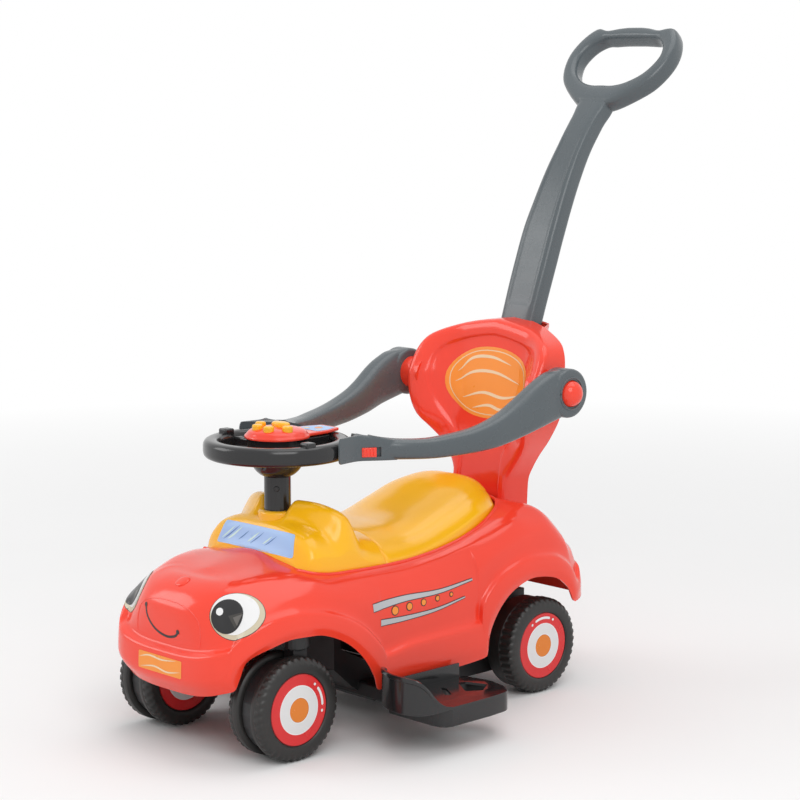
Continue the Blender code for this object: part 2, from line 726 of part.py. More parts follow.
# Black underbody: caster bridge, belly tray, rear axle block and footrest beam

def chassis():
    low = BRIDGE_TOP - BRIDGE_THICKNESS
    side_view = [(-0.225, BRIDGE_TOP), (-0.118, BRIDGE_TOP), (-0.090, 0.132), (-0.086, 0.100), (-0.048, 0.080),
                 (0.150, 0.080), (0.168, REAR_BLOCK_TOP), (0.242, REAR_BLOCK_TOP), (0.242, 0.080),
                 (0.228, 0.032), (0.200, 0.024), (-0.030, 0.024), (-0.069, 0.050), (-0.098, 0.076),
                 (-0.098, 0.128), (-0.122, low), (-0.225, low)]
    item = part("chassis", outline_mesh(side_view, -BELLY_HALF_WIDTH, BELLY_HALF_WIDTH, "X"), "black")
    join(item, "caster_bridge", box_mesh((-CASTER_X - 0.0165, CASTER_Y - 0.0165, low),
                                         (CASTER_X + 0.0165, CASTER_Y + 0.0165, BRIDGE_TOP), 0.002, 1))
    join(item, "footrest_beam", box_mesh((-BEAM_HALF_LENGTH, BEAM_FRONT_Y, BEAM_FOOT_Z),
                                         (BEAM_HALF_LENGTH, BEAM_REAR_Y, FOOT_TOP_Z - FOOT_WALL - GAP), 0.002, 1))
    for side in (-1, 1):
        join(item, "caster_sleeve", cylinder_mesh((side * CASTER_X, CASTER_Y, 0.1310),
                                                  (side * CASTER_X, CASTER_Y, STEM_TOP - 0.003), 0.0165, 20))
        join(item, "axle_boss", cylinder_mesh((side * (BELLY_HALF_WIDTH - BELLY_WALL), REAR_AXLE_Y, WHEEL_RADIUS),
                                              (side * (REAR_WHEEL_OUTER - REAR_DRUM_WIDTH - 0.0190), REAR_AXLE_Y,
                                               WHEEL_RADIUS), 0.0090, 20))
    inside = BELLY_HALF_WIDTH - BELLY_WALL
    cut(item, "belly_hollow", box_mesh((-inside, -0.032, 0.024 + BELLY_WALL), (inside, 0.1480, 0.2000)))
    cut(item, "axle_block_hollow", box_mesh((-inside, 0.1510, 0.024 + 2 * BELLY_WALL), (inside, 0.2280, 0.1190)))
    cut(item, "block_window", box_mesh((-0.030, 0.1600, 0.1100), (0.030, 0.2280, 0.2000)))
    cut(item, "front_hollow", box_mesh((-inside, -0.0930, 0.0780), (inside, -0.0360, 0.1600)))
    for side in (-1, 1):
        cut(item, "stem_bore", cylinder_mesh((side * CASTER_X, CASTER_Y, 0.10), (side * CASTER_X, CASTER_Y, 0.20),
                                             STEM_RADIUS + GAP, 20))
    cut(item, "axle_bore", cylinder_mesh((-0.10, REAR_AXLE_Y, WHEEL_RADIUS), (0.10, REAR_AXLE_Y, WHEEL_RADIUS),
                                         AXLE_RADIUS + GAP, 16))
    return item


# Wheels, caps, casters and rear axle

def lugs(turn, row, tread_rows):
    return -LUG_DEPTH if row in tread_rows and turn % 2 else 0.0


def wheel_mesh(profile, tread_rows, centre, facing):
    rows = [(radius, facing * along) for radius, along in profile]
    return turned_mesh(rows, centre, "X", 2 * LUG_COUNT, lambda i, k: lugs(i, k, tread_rows))


def caster_wheel(name, side, facing):
    """One of the twin wheels of a caster; its outer face looks along facing."""
    near = CASTER_WEB / 2 + CASTER_SIDE_PLAY
    far = near + TREAD_WIDTH
    bore = AXLE_RADIUS + GAP
    profile = [(bore, near), (0.0585, near), (WHEEL_RADIUS, near + 0.0025), (WHEEL_RADIUS, far - 0.0050),
               (0.0560, far), (DISC_RADIUS + 0.0010, far), (DISC_RADIUS + GAP, far - DISC_RECESS),
               (bore, far - DISC_RECESS)]
    centre = (side * CASTER_X, -WHEELBASE / 2, WHEEL_RADIUS)
    return part(name, wheel_mesh(profile, (2, 3), centre, facing), "tyre", centre)


def rear_wheel(name, side):
    far = REAR_WHEEL_OUTER
    near = far - TREAD_WIDTH - REAR_DRUM_WIDTH + 0.0020
    groove = far - TREAD_WIDTH - 0.0020
    bore = AXLE_RADIUS + GAP
    floor = far - DISC_RECESS
    profile = [(bore, near), (0.0560, near), (REAR_DRUM_RADIUS, near + 0.0040), (REAR_DRUM_RADIUS, groove - 0.0010),
               (WHEEL_RADIUS, groove + 0.0010), (WHEEL_RADIUS, far - 0.0050), (0.0560, far),
               (DISC_RADIUS + 0.0015, far), (DISC_RADIUS + GAP, floor), (0.0090, floor), (0.0090, floor - 0.0050),
               (bore, floor - 0.0050)]
    centre = (0.0, REAR_AXLE_Y, WHEEL_RADIUS)
    mesh = wheel_mesh(profile, (4, 5), centre, side)
    return part(name, mesh, "tyre", (side * (far - TREAD_WIDTH / 2), REAR_AXLE_Y, WHEEL_RADIUS))


def wheel_cap(name, x, y, facing):
    """Slightly domed disc; x is the floor of the wheel's recess."""
    rise = DISC_THICKNESS
    profile = [(0.0, rise + 0.0008), (DISC_RADIUS, rise - 0.0004), (DISC_RADIUS, 0.0), (0.0, 0.0)]
    axis = "X" if facing > 0 else "-X"
    return screw_part(name, profile, "wheel_red", (x + facing * GAP, y, WHEEL_RADIUS), axis, 20)


def caster_fork(name, side):
    """Hood between the twin wheels, with the swivel stem standing on it."""
    x, y, z = side * CASTER_X, -WHEELBASE / 2, WHEEL_RADIUS
    points = []
    for angle in range(-62, 119, 15):
        a = math.radians(angle)
        points.append((y - CASTER_WEB_RADIUS * math.cos(a), z + CASTER_WEB_RADIUS * math.sin(a)))
    points += [(y + 0.0330, z + 0.0300), (y + 0.0140, z - 0.0060), (y, z - 0.0130), (y - 0.0120, z - 0.0230)]
    half = CASTER_WEB / 2
    item = part(name, outline_mesh(points, x - half, x + half, "X"), "black", (x, CASTER_Y, z))
    join(item, name + "_neck", box_mesh((x - half, CASTER_Y - 0.0105, z + 0.030),
                                        (x + half, CASTER_Y + 0.0105, 0.1285), 0.0))
    stem = [(x, CASTER_Y, 0.1270), (x, CASTER_Y, STEM_TOP)]
    join(item, name + "_stem", cylinder_mesh(stem[0], stem[1], STEM_RADIUS, 20, bevel=0.0015))
    cut(item, name + "_axle_bore", cylinder_mesh((x - 0.02, y, z), (x + 0.02, y, z), AXLE_RADIUS + GAP, 16))
    return item


def caster_axle(name, side):
    reach = CASTER_WEB / 2 + CASTER_SIDE_PLAY + TREAD_WIDTH - DISC_RECESS - 0.0010
    x, y = side * CASTER_X, -WHEELBASE / 2
    mesh = cylinder_mesh((x - reach, y, WHEEL_RADIUS), (x + reach, y, WHEEL_RADIUS), AXLE_RADIUS, 16)
    return part(name, mesh, "steel", (x, y, WHEEL_RADIUS))


def casters():
    for side, label in ((1, "left"), (-1, "right")):
        caster_fork("caster_fork_" + label, side)
        caster_axle("caster_axle_" + label, side)
        for facing, place in ((side, "outer"), (-side, "inner")):
            name = place + "_" + label
            caster_wheel("front_wheel_" + name, side, facing)
            reach = CASTER_WEB / 2 + CASTER_SIDE_PLAY + TREAD_WIDTH - DISC_RECESS
            wheel_cap("front_cap_" + name, side * CASTER_X + facing * reach, -WHEELBASE / 2, facing)


def rear_running_gear():
    floor = REAR_WHEEL_OUTER - DISC_RECESS
    end = floor - 0.0015
    mesh = cylinder_mesh((-end, REAR_AXLE_Y, WHEEL_RADIUS), (end, REAR_AXLE_Y, WHEEL_RADIUS), AXLE_RADIUS, 16)
    part("rear_axle", mesh, "steel", (0.0, REAR_AXLE_Y, WHEEL_RADIUS))
    for side, label in ((1, "left"), (-1, "right")):
        rear_wheel("rear_wheel_" + label, side)
        wheel_cap("rear_cap_" + label, side * floor, REAR_AXLE_Y, side)
        ring = [(AXLE_RADIUS + GAP, side * (floor - 0.0040)), (0.0080, side * (floor - 0.0040)),
                (0.0070, side * (floor - 0.0020)), (AXLE_RADIUS + GAP, side * (floor - 0.0020))]
        part("axle_clip_" + label, turned_mesh(ring, (0.0, REAR_AXLE_Y, WHEEL_RADIUS), "X", 12), "steel",
             (side * floor, REAR_AXLE_Y, WHEEL_RADIUS))


# Steering column, wheel and the music pod on it

def steering_column():
    foot = COLUMN_FOOT
    spigot = COLUMN_JOURNAL_RADIUS - 0.001
    profile = [(0.0, COLUMN_TOP + 0.010), (spigot - 0.001, COLUMN_TOP + 0.010), (spigot, COLUMN_TOP + 0.009),
               (spigot, BOWL_FOOT - GAP), (COLUMN_RADIUS, BOWL_FOOT - GAP), (COLUMN_RADIUS, SKIRT_FOOT_Z + GAP),
               (COLUMN_JOURNAL_RADIUS, SKIRT_FOOT_Z + GAP), (COLUMN_JOURNAL_RADIUS, foot + 0.001),
               (COLUMN_JOURNAL_RADIUS - 0.001, foot), (0.0, foot)]
    item = screw_part("steering_column", profile, "black", (0.0, STEER_Y, 0.0), steps=24)
    cut(item, "screw_recess", cylinder_mesh((0.0, STEER_Y, 0.3000), (0.012, STEER_Y - 0.0120, 0.3000), 0.0034, 14))
    return item


def column_screw():
    turn = Vector((1.0, -1.0, 0.0)).normalized()
    centre = Vector((0.0, STEER_Y, 0.3000))
    mesh = cylinder_mesh(centre + turn * 0.0173, centre + turn * 0.0140, 0.0030, 14)
    return part("column_screw", mesh, "steel")


def ring_section(angle, centre):
    """Soft rectangular section of the steering wheel's rim."""
    half, mid = RING_TUBE_WIDTH / 2, RING_RADIUS - RING_TUBE_WIDTH / 2
    height, middle = (RING_HIGH - RING_LOW) / 2, (RING_HIGH + RING_LOW) / 2
    made = []
    for k in range(8):
        t = math.tau * (k + 0.5) / 8
        c, s = math.cos(t), math.sin(t)
        a = math.copysign(abs(c) ** 0.62, c) * half
        b = math.copysign(abs(s) ** 0.62, s) * height
        r = mid + a
        made.append(centre + Vector((r * math.cos(angle), r * math.sin(angle), middle + b)))
    return made


def steering_wheel():
    centre = Vector((0.0, STEER_Y, 0.0))
    rings = [ring_section(math.tau * i / 36, centre) for i in range(36)]
    item = part("steering_wheel", loft_mesh(rings, caps=False, loop=True), "black", (0.0, STEER_Y, 0.0))
    top = POD_FOOT - GAP
    bowl = [(0.0375, top), (0.0368, 0.3470), (BOWL_RADIUS, 0.3380), (0.0290, 0.3240), (0.0220, 0.3165),
            (COLUMN_RADIUS + 0.0004, BOWL_FOOT)]
    rows = [[(r * math.cos(math.tau * i / 18), STEER_Y + r * math.sin(math.tau * i / 18), z) for i in range(18)]
            for r, z in bowl]
    join(item, "hub_bowl", loft_mesh(rows))
    inner = RING_RADIUS - RING_TUBE_WIDTH / 2
    for side in (-1, 1):
        join(item, "side_spoke", box_mesh((min(side * 0.02, side * inner), STEER_Y - 0.0130, 0.3430),
                                          (max(side * 0.02, side * inner), STEER_Y + 0.0130, 0.3560)))
        join(item, "thumb_stud", box_mesh((side * 0.0760 - 0.0075, STEER_Y - 0.0240, 0.3500),
                                          (side * 0.0760 + 0.0075, STEER_Y - 0.0100, 0.3655), 0.002, 1))
    join(item, "rear_spoke", box_mesh((-0.0190, STEER_Y + 0.020, 0.3430), (0.0190, STEER_Y + inner, 0.3600)))
    cut(item, "spigot_bore", cylinder_mesh((0.0, STEER_Y, 0.30), (0.0, STEER_Y, COLUMN_TOP + 0.010 + GAP),
                                           COLUMN_JOURNAL_RADIUS - 0.001 + GAP, 16))
    cut(item, "bowl_notch", box_mesh((0.0060, STEER_Y - 0.0420, 0.3120), (0.0125, STEER_Y - 0.0280, 0.3300)))
    return item


def button_places():
    """Centres and half sizes of the five push buttons, from the pod's centre."""
    small = BUTTON_RADIUS
    return {"button_left": (0.0250, -0.0050, small, small), "button_right": (-0.0250, -0.0050, small, small),
            "button_front_left": (0.0105, -0.0225, small, small),
            "button_front_right": (-0.0105, -0.0225, small, small),
            "button_rear": (0.0, 0.0060, 0.0140, 0.0085)}


def oval(x, y, a, b, count=14):
    return [(x + a * math.cos(math.tau * i / count), STEER_Y + y + b * math.sin(math.tau * i / count))
            for i in range(count)]


def music_pod():
    dome = [(0.0, POD_TOP), (0.0200, POD_TOP - 0.0008), (0.0330, POD_TOP - 0.0036),
            (0.0382, POD_TOP - 0.0085), (POD_RADIUS, POD_FOOT + 0.0020),
            (POD_RADIUS, POD_FOOT), (0.0, POD_FOOT)]
    item = screw_part("music_pod", dome, "red", (0.0, STEER_Y, 0.0), steps=24)
    tray = rounded([(-0.0250, STEER_Y + 0.020), (0.0250, STEER_Y + 0.020), (0.0245, STEER_Y + 0.062),
                    (0.0165, STEER_Y + TRAY_REACH), (-0.0165, STEER_Y + TRAY_REACH),
                    (-0.0245, STEER_Y + 0.062)], 0.007)
    join(item, "label_tray", outline_mesh([tuple(p) for p in tray], POD_FOOT, POD_FOOT + 0.0035))
    for name, (x, y, a, b) in button_places().items():
        cut(item, name + "_hole", outline_mesh(oval(x, y, a + GAP, b + GAP), POD_FOOT + 0.0035, POD_TOP + 0.01))
    return item


def music_buttons():
    for name, (x, y, a, b) in button_places().items():
        top = POD_TOP + (0.0052 if a > b else 0.0040)
        foot = POD_FOOT + 0.0035 + BUTTON_TRAVEL + GAP
        levels = ((foot, 1.0), (top - 0.0014, 1.0), (top, 0.72))
        rings = [[(px, py, z) for px, py in oval(x, y, a * s, b * s)] for z, s in levels]
        part(name, loft_mesh(rings), "yellow", (x, STEER_Y + y, foot))


# Guard arms

ARM_X = ((-0.066, 0.074), (-0.04, 0.092), (-0.02, 0.105), (0.0, 0.1135), (0.02, 0.120), (0.04, 0.126),
         (0.06, 0.131), (0.08, 0.135), (0.10, 0.138), (0.14, 0.1415), (0.18, 0.1460), (0.22, 0.1465))
ARM_TOP = ((-0.066, 0.3690), (-0.04, 0.3615), (-0.02, 0.3590), (0.01, 0.3578), (0.04, 0.3605), (0.06, 0.363),
           (0.08, 0.367), (0.10, 0.373), (0.12, 0.381), (0.14, 0.3925), (0.16, 0.406), (0.18, 0.4175),
           (0.20, 0.4250), (0.22, 0.4265))
ARM_BOTTOM = ((-0.066, 0.3365), (-0.02, 0.3345), (0.02, 0.3330), (0.06, 0.3345), (0.10, 0.3375), (0.14, 0.3450),
              (0.18, 0.3560), (0.22, 0.3660))


def arm_section(side, y):
    """Rounded section of the arm, square to its run in plan."""
    step = 0.002
    x = smooth_value(ARM_X, y)
    run = Vector((smooth_value(ARM_X, y + step) - smooth_value(ARM_X, y - step), 2 * step)).normalized()
    across = Vector((run.y, -run.x))
    top, bottom = smooth_value(ARM_TOP, y), smooth_value(ARM_BOTTOM, y)
    half = ARM_THICKNESS / 2 - 0.0012 * min(max((0.2 - y) / 0.1, 0.0), 1.0)
    made = []
    for k in range(12):
        t = math.tau * (k + 0.5) / 12
        c, s = math.cos(t), math.sin(t)
        a = math.copysign(abs(c) ** 0.60, c) * half
        b = math.copysign(abs(s) ** 0.60, s) * (top - bottom) / 2
        made.append((side * (x + across.x * a), y + across.y * a, (top + bottom) / 2 + b))
    return made


def saddle_rings(side):
    """Collar that cups the rim of the steering wheel, in four levels."""
    inner = RING_RADIUS - 0.004
    outline = []
    for angle in (10, 22, 34, 46, 58, 70):
        a = math.radians(angle)
        outline.append(Vector((inner * math.cos(a), STEER_Y + inner * math.sin(a))))
    for angle, width in ((72, 0.0083), (64, 0.0163), (52, 0.0223), (36, 0.0188), (22, 0.0103), (11, 0.0058)):
        a = math.radians(angle)
        reach = RING_RADIUS + width
        outline.append(Vector((reach * math.cos(a), STEER_Y + reach * math.sin(a))))
    middle = sum(outline, Vector((0.0, 0.0))) / len(outline)
    low, high = smooth_value(ARM_BOTTOM, -0.066), smooth_value(ARM_TOP, -0.066)
    levels = ((low, 0.94), (low + 0.003, 1.0), (high - 0.005, 1.0), (high, 0.93))
    return [[(side * (middle + (p - middle) * s).x, (middle + (p - middle) * s).y, z) for p in outline]
            for z, s in levels]


def guard_arm(name, side):
    ys = [0.220, 0.195, 0.175, 0.155, 0.135, 0.115, 0.090, 0.060, 0.030, 0.006, -0.014, -0.034, -0.054]
    item = part(name, loft_mesh([arm_section(side, y) for y in ys]), "grey", (side * PIVOT_X, PIVOT_Y, PIVOT_Z))
    join(item, name + "_disc", cylinder_mesh((side * PIVOT_X, PIVOT_Y, PIVOT_Z),
                                             (side * (PIVOT_X + ARM_THICKNESS), PIVOT_Y, PIVOT_Z),
                                             ARM_END_RADIUS, 24, bevel=0.003))
    join(item, name + "_saddle", loft_mesh(saddle_rings(side)))
    cut(item, name + "_rim_clearance", cylinder_mesh((0.0, STEER_Y + 0.0056, 0.30), (0.0, STEER_Y + 0.0056, 0.40),
                                                     RING_RADIUS + SADDLE_GAP - 0.0012, 48))
    outer = side * (PIVOT_X + ARM_THICKNESS)
    cut(item, name + "_button_well", cylinder_mesh((outer + side * 0.002, PIVOT_Y, PIVOT_Z),
                                                   (outer - side * 0.0100, PIVOT_Y, PIVOT_Z),
                                                   PIVOT_BUTTON_RADIUS + GAP, 20))
    cut(item, name + "_pin_bore", cylinder_mesh((side * (PIVOT_X - 0.002), PIVOT_Y, PIVOT_Z),
                                                (outer - side * 0.0090, PIVOT_Y, PIVOT_Z),
                                                PIVOT_PIN_RADIUS + GAP, 14))
    if side > 0:
        cut(item, "latch_pocket", latch_mesh(LATCH_LENGTH + LATCH_TRAVEL + 2 * GAP, LATCH_HEIGHT + 2 * GAP, 0.0110,
                                             -LATCH_TRAVEL / 2))
    return item


def latch_mesh(length, height, depth, along, out=0.0):
    """Block lying along the arm's outer face, near its lower edge."""
    bm = bmesh.new()
    bmesh.ops.create_cube(bm, size=1.0)
    bmesh.ops.scale(bm, vec=(length, depth, height), verts=bm.verts)
    bmesh.ops.translate(bm, vec=(along, -out, 0.0), verts=bm.verts)
    bmesh.ops.transform(bm, matrix=Matrix.Translation(LATCH_PLACE) @ latch_frame(), verts=bm.verts)
    return finished(bm)


def latch_frame():
    """Local X runs along the arm, local -Y points outward from its face."""
    y = LATCH_PLACE[1]
    run = Vector((smooth_value(ARM_X, y + 0.004) - smooth_value(ARM_X, y - 0.004), 0.008, 0.0)).normalized()
    across = Vector((run.y, -run.x, 0.0))
    frame = Matrix((run, -across, Vector((0.0, 0.0, 1.0)))).transposed()
    return frame.to_4x4()


def latch_slider():
    """Ribbed slider, at the front end of its slot."""
    depth = 0.0095
    item = part("latch_slider", latch_mesh(LATCH_LENGTH, LATCH_HEIGHT, depth, -LATCH_TRAVEL), "red", LATCH_PLACE)
    pitch = LATCH_LENGTH / (LATCH_RIBS + 0.5)
    for i in range(LATCH_RIBS):
        along = -LATCH_TRAVEL - LATCH_LENGTH / 2 + pitch * (i + 0.75)
        join(item, "latch_rib", latch_mesh(pitch * 0.5, LATCH_HEIGHT - 0.002, 0.003, along, depth / 2))
    return item


def pivot_hardware():
    for side, label in ((1, "left"), (-1, "right")):
        outer = PIVOT_X + ARM_THICKNESS
        pin = cylinder_mesh((side * 0.1020, PIVOT_Y, PIVOT_Z), (side * (outer - 0.0110), PIVOT_Y, PIVOT_Z),
                            PIVOT_PIN_RADIUS, 14)
        part("pivot_pin_" + label, pin, "steel", (side * PIVOT_X, PIVOT_Y, PIVOT_Z))
        dome = [(0.0, 0.0160), (0.0070, 0.0151), (0.0125, 0.0122), (0.0160, 0.0080),
                (PIVOT_BUTTON_RADIUS, 0.0030), (PIVOT_BUTTON_RADIUS, 0.0), (0.0, 0.0)]
        screw_part("pivot_button_" + label, dome, "red", (side * (outer - 0.0060), PIVOT_Y, PIVOT_Z),
                   "X" if side > 0 else "-X", 20)


# Backrest

def back_plane(z):
    return BACK_MID_Y + BACK_LEAN * (max(z, BACK_KNEE_Z) - BACK_MID_Z)


def back_front(x, z):
    """Front face of the backrest, its wings standing forward of the middle."""
    t = min(max((abs(x) - 0.050) / 0.068, 0.0), 1.0)
    high = min(max((z - 0.400) / 0.070, 0.0), 1.0)
    low = min(max((z - 0.280) / 0.060, 0.0), 1.0)
    return back_plane(z) - BACK_WING * t * t * (3 - 2 * t) * (1.0 - 0.7 * high) * low


def back_edge(z):
    """Where the side wall of the front shell ends at the rear, deepest beside the handle."""
    return smooth_value(((0.20, 0.2640), (0.26, 0.2670), (0.28, 0.2700), (0.31, 0.2695), (0.34, 0.2665),
                         (0.385, 0.2625), (0.4165, 0.2600), (0.440, 0.2640), (0.4585, 0.2760), (0.476, 0.2980)), z)


def back_outline(count):
    """Half outline in (x, z), from the top of the middle down to the foot."""
    keys = [(0.0, 0.4760), (0.030, 0.4725), (0.064, 0.4655), (0.093, 0.4555), (0.1095, 0.4450), (0.1172, 0.4280),
            (0.1178, 0.4040), (0.1145, 0.3800), (0.1040, 0.3510), (0.0860, 0.3240), (0.0640, 0.2970),
            (0.0500, 0.2740), (BACK_FOOT_HALF_WIDTH, 0.2600)]
    made = [(max(p.x, 0.0), p.y) for p in smooth_path(keys, count)]
    made += [(BACK_FOOT_HALF_WIDTH, 0.2300), (BACK_FOOT_HALF_WIDTH, BACK_FOOT_Z)]
    return made


def back_ring(outline, share, setback):
    made = []
    for x, z in outline:
        px, pz = x * share, BACK_MID_Z + (z - BACK_MID_Z) * share
        made.append((px, back_front(px, pz) + setback, pz))
    return made


def backrest_front():
    outline = back_outline(BACK_OUTLINE_POINTS)
    rings = [back_ring(outline, 0.001, 0.0030), back_ring(outline, 0.42, 0.0030),
             back_ring(outline, 0.745, 0.0030), back_ring(outline, 0.775, 0.0), back_ring(outline, 0.90, -0.0006),
             back_ring(outline, 0.965, 0.0012), back_ring(outline, 1.0, 0.0070)]
    rings.append([(x, back_edge(z), z) for x, z in outline])
    item = part("backrest_front", half_skin(rings), "red")
    mirror = item.modifiers.new("other side", "MIRROR")
    mirror.merge_threshold = 0.00005
    wall = item.modifiers.new("wall", "SOLIDIFY")
    wall.thickness = BACK_WALL
    wall.offset = -1.0
    for side in (-1, 1):
        join(item, "pivot_boss", cylinder_mesh((side * 0.0990, PIVOT_Y, PIVOT_Z),
                                               (side * (PIVOT_X - 0.0005), PIVOT_Y, PIVOT_Z), BACK_BOSS_RADIUS, 20))
    for side in (-1, 1):
        cut(item, "pivot_bore", cylinder_mesh((side * 0.090, PIVOT_Y, PIVOT_Z), (side * 0.14, PIVOT_Y, PIVOT_Z),
                                              PIVOT_PIN_RADIUS + GAP, 14))
    cut(item, "handle_gate", handle_cutter())
    return item


def half_skin(rings):
    """Skin over half rings that run from the top of the middle line to the foot's middle."""
    bm = bmesh.new()
    rows = []
    for ring in rings:
        foot = Vector(ring[-1])
        row = [bm.verts.new(p) for p in ring]
        row.append(bm.verts.new((0.0, foot.y, foot.z)))
        rows.append(row)
    for a, b in zip(rows, rows[1:]):
        for i in range(len(a) - 1):
            bm.faces.new((a[i], a[i + 1], b[i + 1], b[i]))
    bmesh.ops.remove_doubles(bm, verts=bm.verts, dist=0.00005)
    return finished(bm)


def back_rear(x, z):
    """Rear face, swelling in the middle to take the foot of the handle."""
    t = min(max((abs(x) - 0.028) / 0.034, 0.0), 1.0)
    swell = smooth_value(((0.300, 0.0), (0.350, 0.018), (0.385, 0.0390), (0.430, 0.0530), (0.4585, 0.0480),
                          (0.476, 0.0300)), z)
    return back_edge(z) + swell * (1.0 - t * t * (3 - 2 * t))


def backrest_rear():
    """Cover that closes the back of the front shell, inside its side wall."""
    outline = back_outline(BACK_OUTLINE_POINTS)
    inset = (BACK_WALL + GAP) / 0.09
    rings = []
    for share, push in ((0.001, 0.0), (0.23, 0.0), (0.38, 0.0), (0.54, 0.0), (0.80, 0.0), (1.0 - inset, -0.002)):
        ring = []
        for x, z in outline:
            px, pz = x * share, BACK_MID_Z + (z - BACK_MID_Z) * share
            if share > 0.9:
                px, pz = inset_point(x, z, BACK_WALL + GAP)
            ring.append((px, back_rear(px, pz) + push, pz))
        rings.append(ring)
    item = part("backrest_rear", half_skin(rings[::-1]), "red")
    mirror = item.modifiers.new("other side", "MIRROR")
    mirror.merge_threshold = 0.00005
    wall = item.modifiers.new("wall", "SOLIDIFY")
    wall.thickness = BACK_WALL
    wall.offset = -1.0
    cut(item, "handle_gate_rear", handle_cutter())
    return item


def inset_point(x, z, distance):
    """Outline point moved towards the middle of the backrest by about the distance."""
    away = Vector((x, z - 0.36))
    if z < BACK_KNEE_Z + 0.02:
        return max(x - distance, 0.0), max(z, BACK_FOOT_Z + distance)
    away = away.normalized() * distance * 1.15
    lean = BACK_WALL * 0.7 * min(max((z - 0.390) / 0.040, 0.0), 1.0)
    return max(x - away.x, 0.0), z - away.y - lean


# Push handle

HANDLE_LINE = ((0.400, 0.2642), (0.4719, 0.2885), (0.5112, 0.3020), (0.5505, 0.3165), (0.5898, 0.3316),
               (0.6292, 0.3502), (0.6686, 0.3711), (0.7081, 0.3962), (0.7346, 0.4161), (0.755, 0.4330),
               (0.790, 0.4640))
HANDLE_WIDTHS = ((0.400, 0.0575), (0.4719, 0.0580), (0.55, 0.0598), (0.59, 0.0592), (0.63, 0.0545),
                 (0.67, 0.0497), (0.71, 0.0449), (0.74, 0.0450), (0.755, 0.0500))
HANDLE_DEPTHS = ((0.40, 0.0290), (0.55, 0.0290), (0.755, 0.0270))
HANDLE_LEVELS = (0.400, 0.436, 0.4719, 0.5112, 0.5505, 0.585, 0.615, 0.64, 0.665, 0.69, 0.715, 0.7400, 0.7530, 0.7680)


def handle_section(z, grow=0.0):
    """Section of the grip bar square to its run; the front face carries the line."""
    step = 0.004
    y = smooth_value(HANDLE_LINE, z)
    run = Vector((smooth_value(HANDLE_LINE, z + step) - smooth_value(HANDLE_LINE, z - step), 2 * step)).normalized()
    back = Vector((run.y, -run.x))
    half = smooth_value(HANDLE_WIDTHS, z) / 2 + grow
    depth = smooth_value(HANDLE_DEPTHS, z)
    made = []
    for k in range(12):
        t = math.tau * (k + 0.5) / 12
        c, s = math.cos(t), math.sin(t)
        a = math.copysign(abs(c) ** 0.42, c) * half
        b = depth / 2 + math.copysign(abs(s) ** 0.42, s) * (depth / 2 + grow)
        made.append((a, y + back.x * b, z + back.y * b))
    return made


def handle_cutter():
    levels = (HANDLE_LEVELS[0] - 0.005,) + HANDLE_LEVELS[:4]
    return loft_mesh([handle_section(z, HANDLE_PLAY) for z in levels])


def loop_sections():
    """Closed run of sections round the grip loop, in the plane that leans back."""
    outer = [(0.0, 0.7580), (0.027, 0.7600), (0.0560, 0.7740), (0.0800, 0.7920), (0.0915, 0.8180), (0.0870, 0.8420),
             (0.0700, 0.8600), (0.0480, 0.8575), (0.0240, 0.8610), (0.0, 0.8625)]
    inner = [(0.0, 0.7850), (0.0200, 0.7850), (0.0400, 0.7890), (0.0610, 0.8010), (0.0715, 0.8200), (0.0650, 0.8370),
             (0.0500, 0.8460), (0.0350, 0.8475), (0.0180, 0.8480), (0.0, 0.8480)]
    count = 17
    half_outer = smooth_path(outer, count)
    half_inner = smooth_path(inner, count)
    lean = Vector((0.0, LOOP_LEAN, 1.0)).normalized()
    back = Vector((0.0, lean.z, -lean.y))
    sections = []
    sides = [(1, i) for i in range(count)] + [(-1, i) for i in range(count - 2, 0, -1)]
    for side, i in sides:
        o, n = half_outer[i], half_inner[i]
        ring = []
        for k in range(8):
            t = math.tau * (k + 0.5) / 8
            c, s = math.cos(t), math.sin(t)
            a = 0.5 + 0.5 * math.copysign(abs(c) ** 0.6, c)
            b = math.copysign(abs(s) ** 0.6, s) * LOOP_THICKNESS / 2
            spot = n * (1 - a) + o * a
            base = Vector((side * spot.x, 0.4180 + LOOP_LEAN * (spot.y - 0.7400), spot.y))
            ring.append(base + back * (b + LOOP_THICKNESS / 2))
        sections.append(ring)
    return sections


def push_handle():
    item = part("push_handle", loft_mesh([handle_section(z) for z in HANDLE_LEVELS]), "grey")
    join(item, "grip_loop", loft_mesh(loop_sections(), caps=False, loop=True))
    return item


# Footrests

def footrest_outline():
    across = [(0.0, -0.0870), (0.0050, -0.0960), (0.0200, -0.1100), (0.0450, -0.1210), (0.0670, -0.1225),
              (0.0840, -0.1170), (0.0915, -0.1070), (0.0938, -0.0900), (FOOT_WIDTH, -0.0650), (FOOT_WIDTH, 0.0000),
              (0.0910, 0.0340), (0.0710, 0.0480), (0.0390, 0.0545), (0.0050, 0.0470), (0.0, 0.0400)]
    return from_inner_edge(across)


def from_inner_edge(points):
    return [(FOOT_INNER_X + x, y) for x, y in points]


def skirt_outline():
    """Plan of the part of the tray that has a skirt under it."""
    front = [(FOOT_INNER_X, FOOT_SKIRT_Y), (FOOT_OUTER_X - 0.0080, FOOT_SKIRT_Y), (FOOT_OUTER_X, FOOT_SKIRT_Y + 0.0080)]
    return front + footrest_outline()[9:]


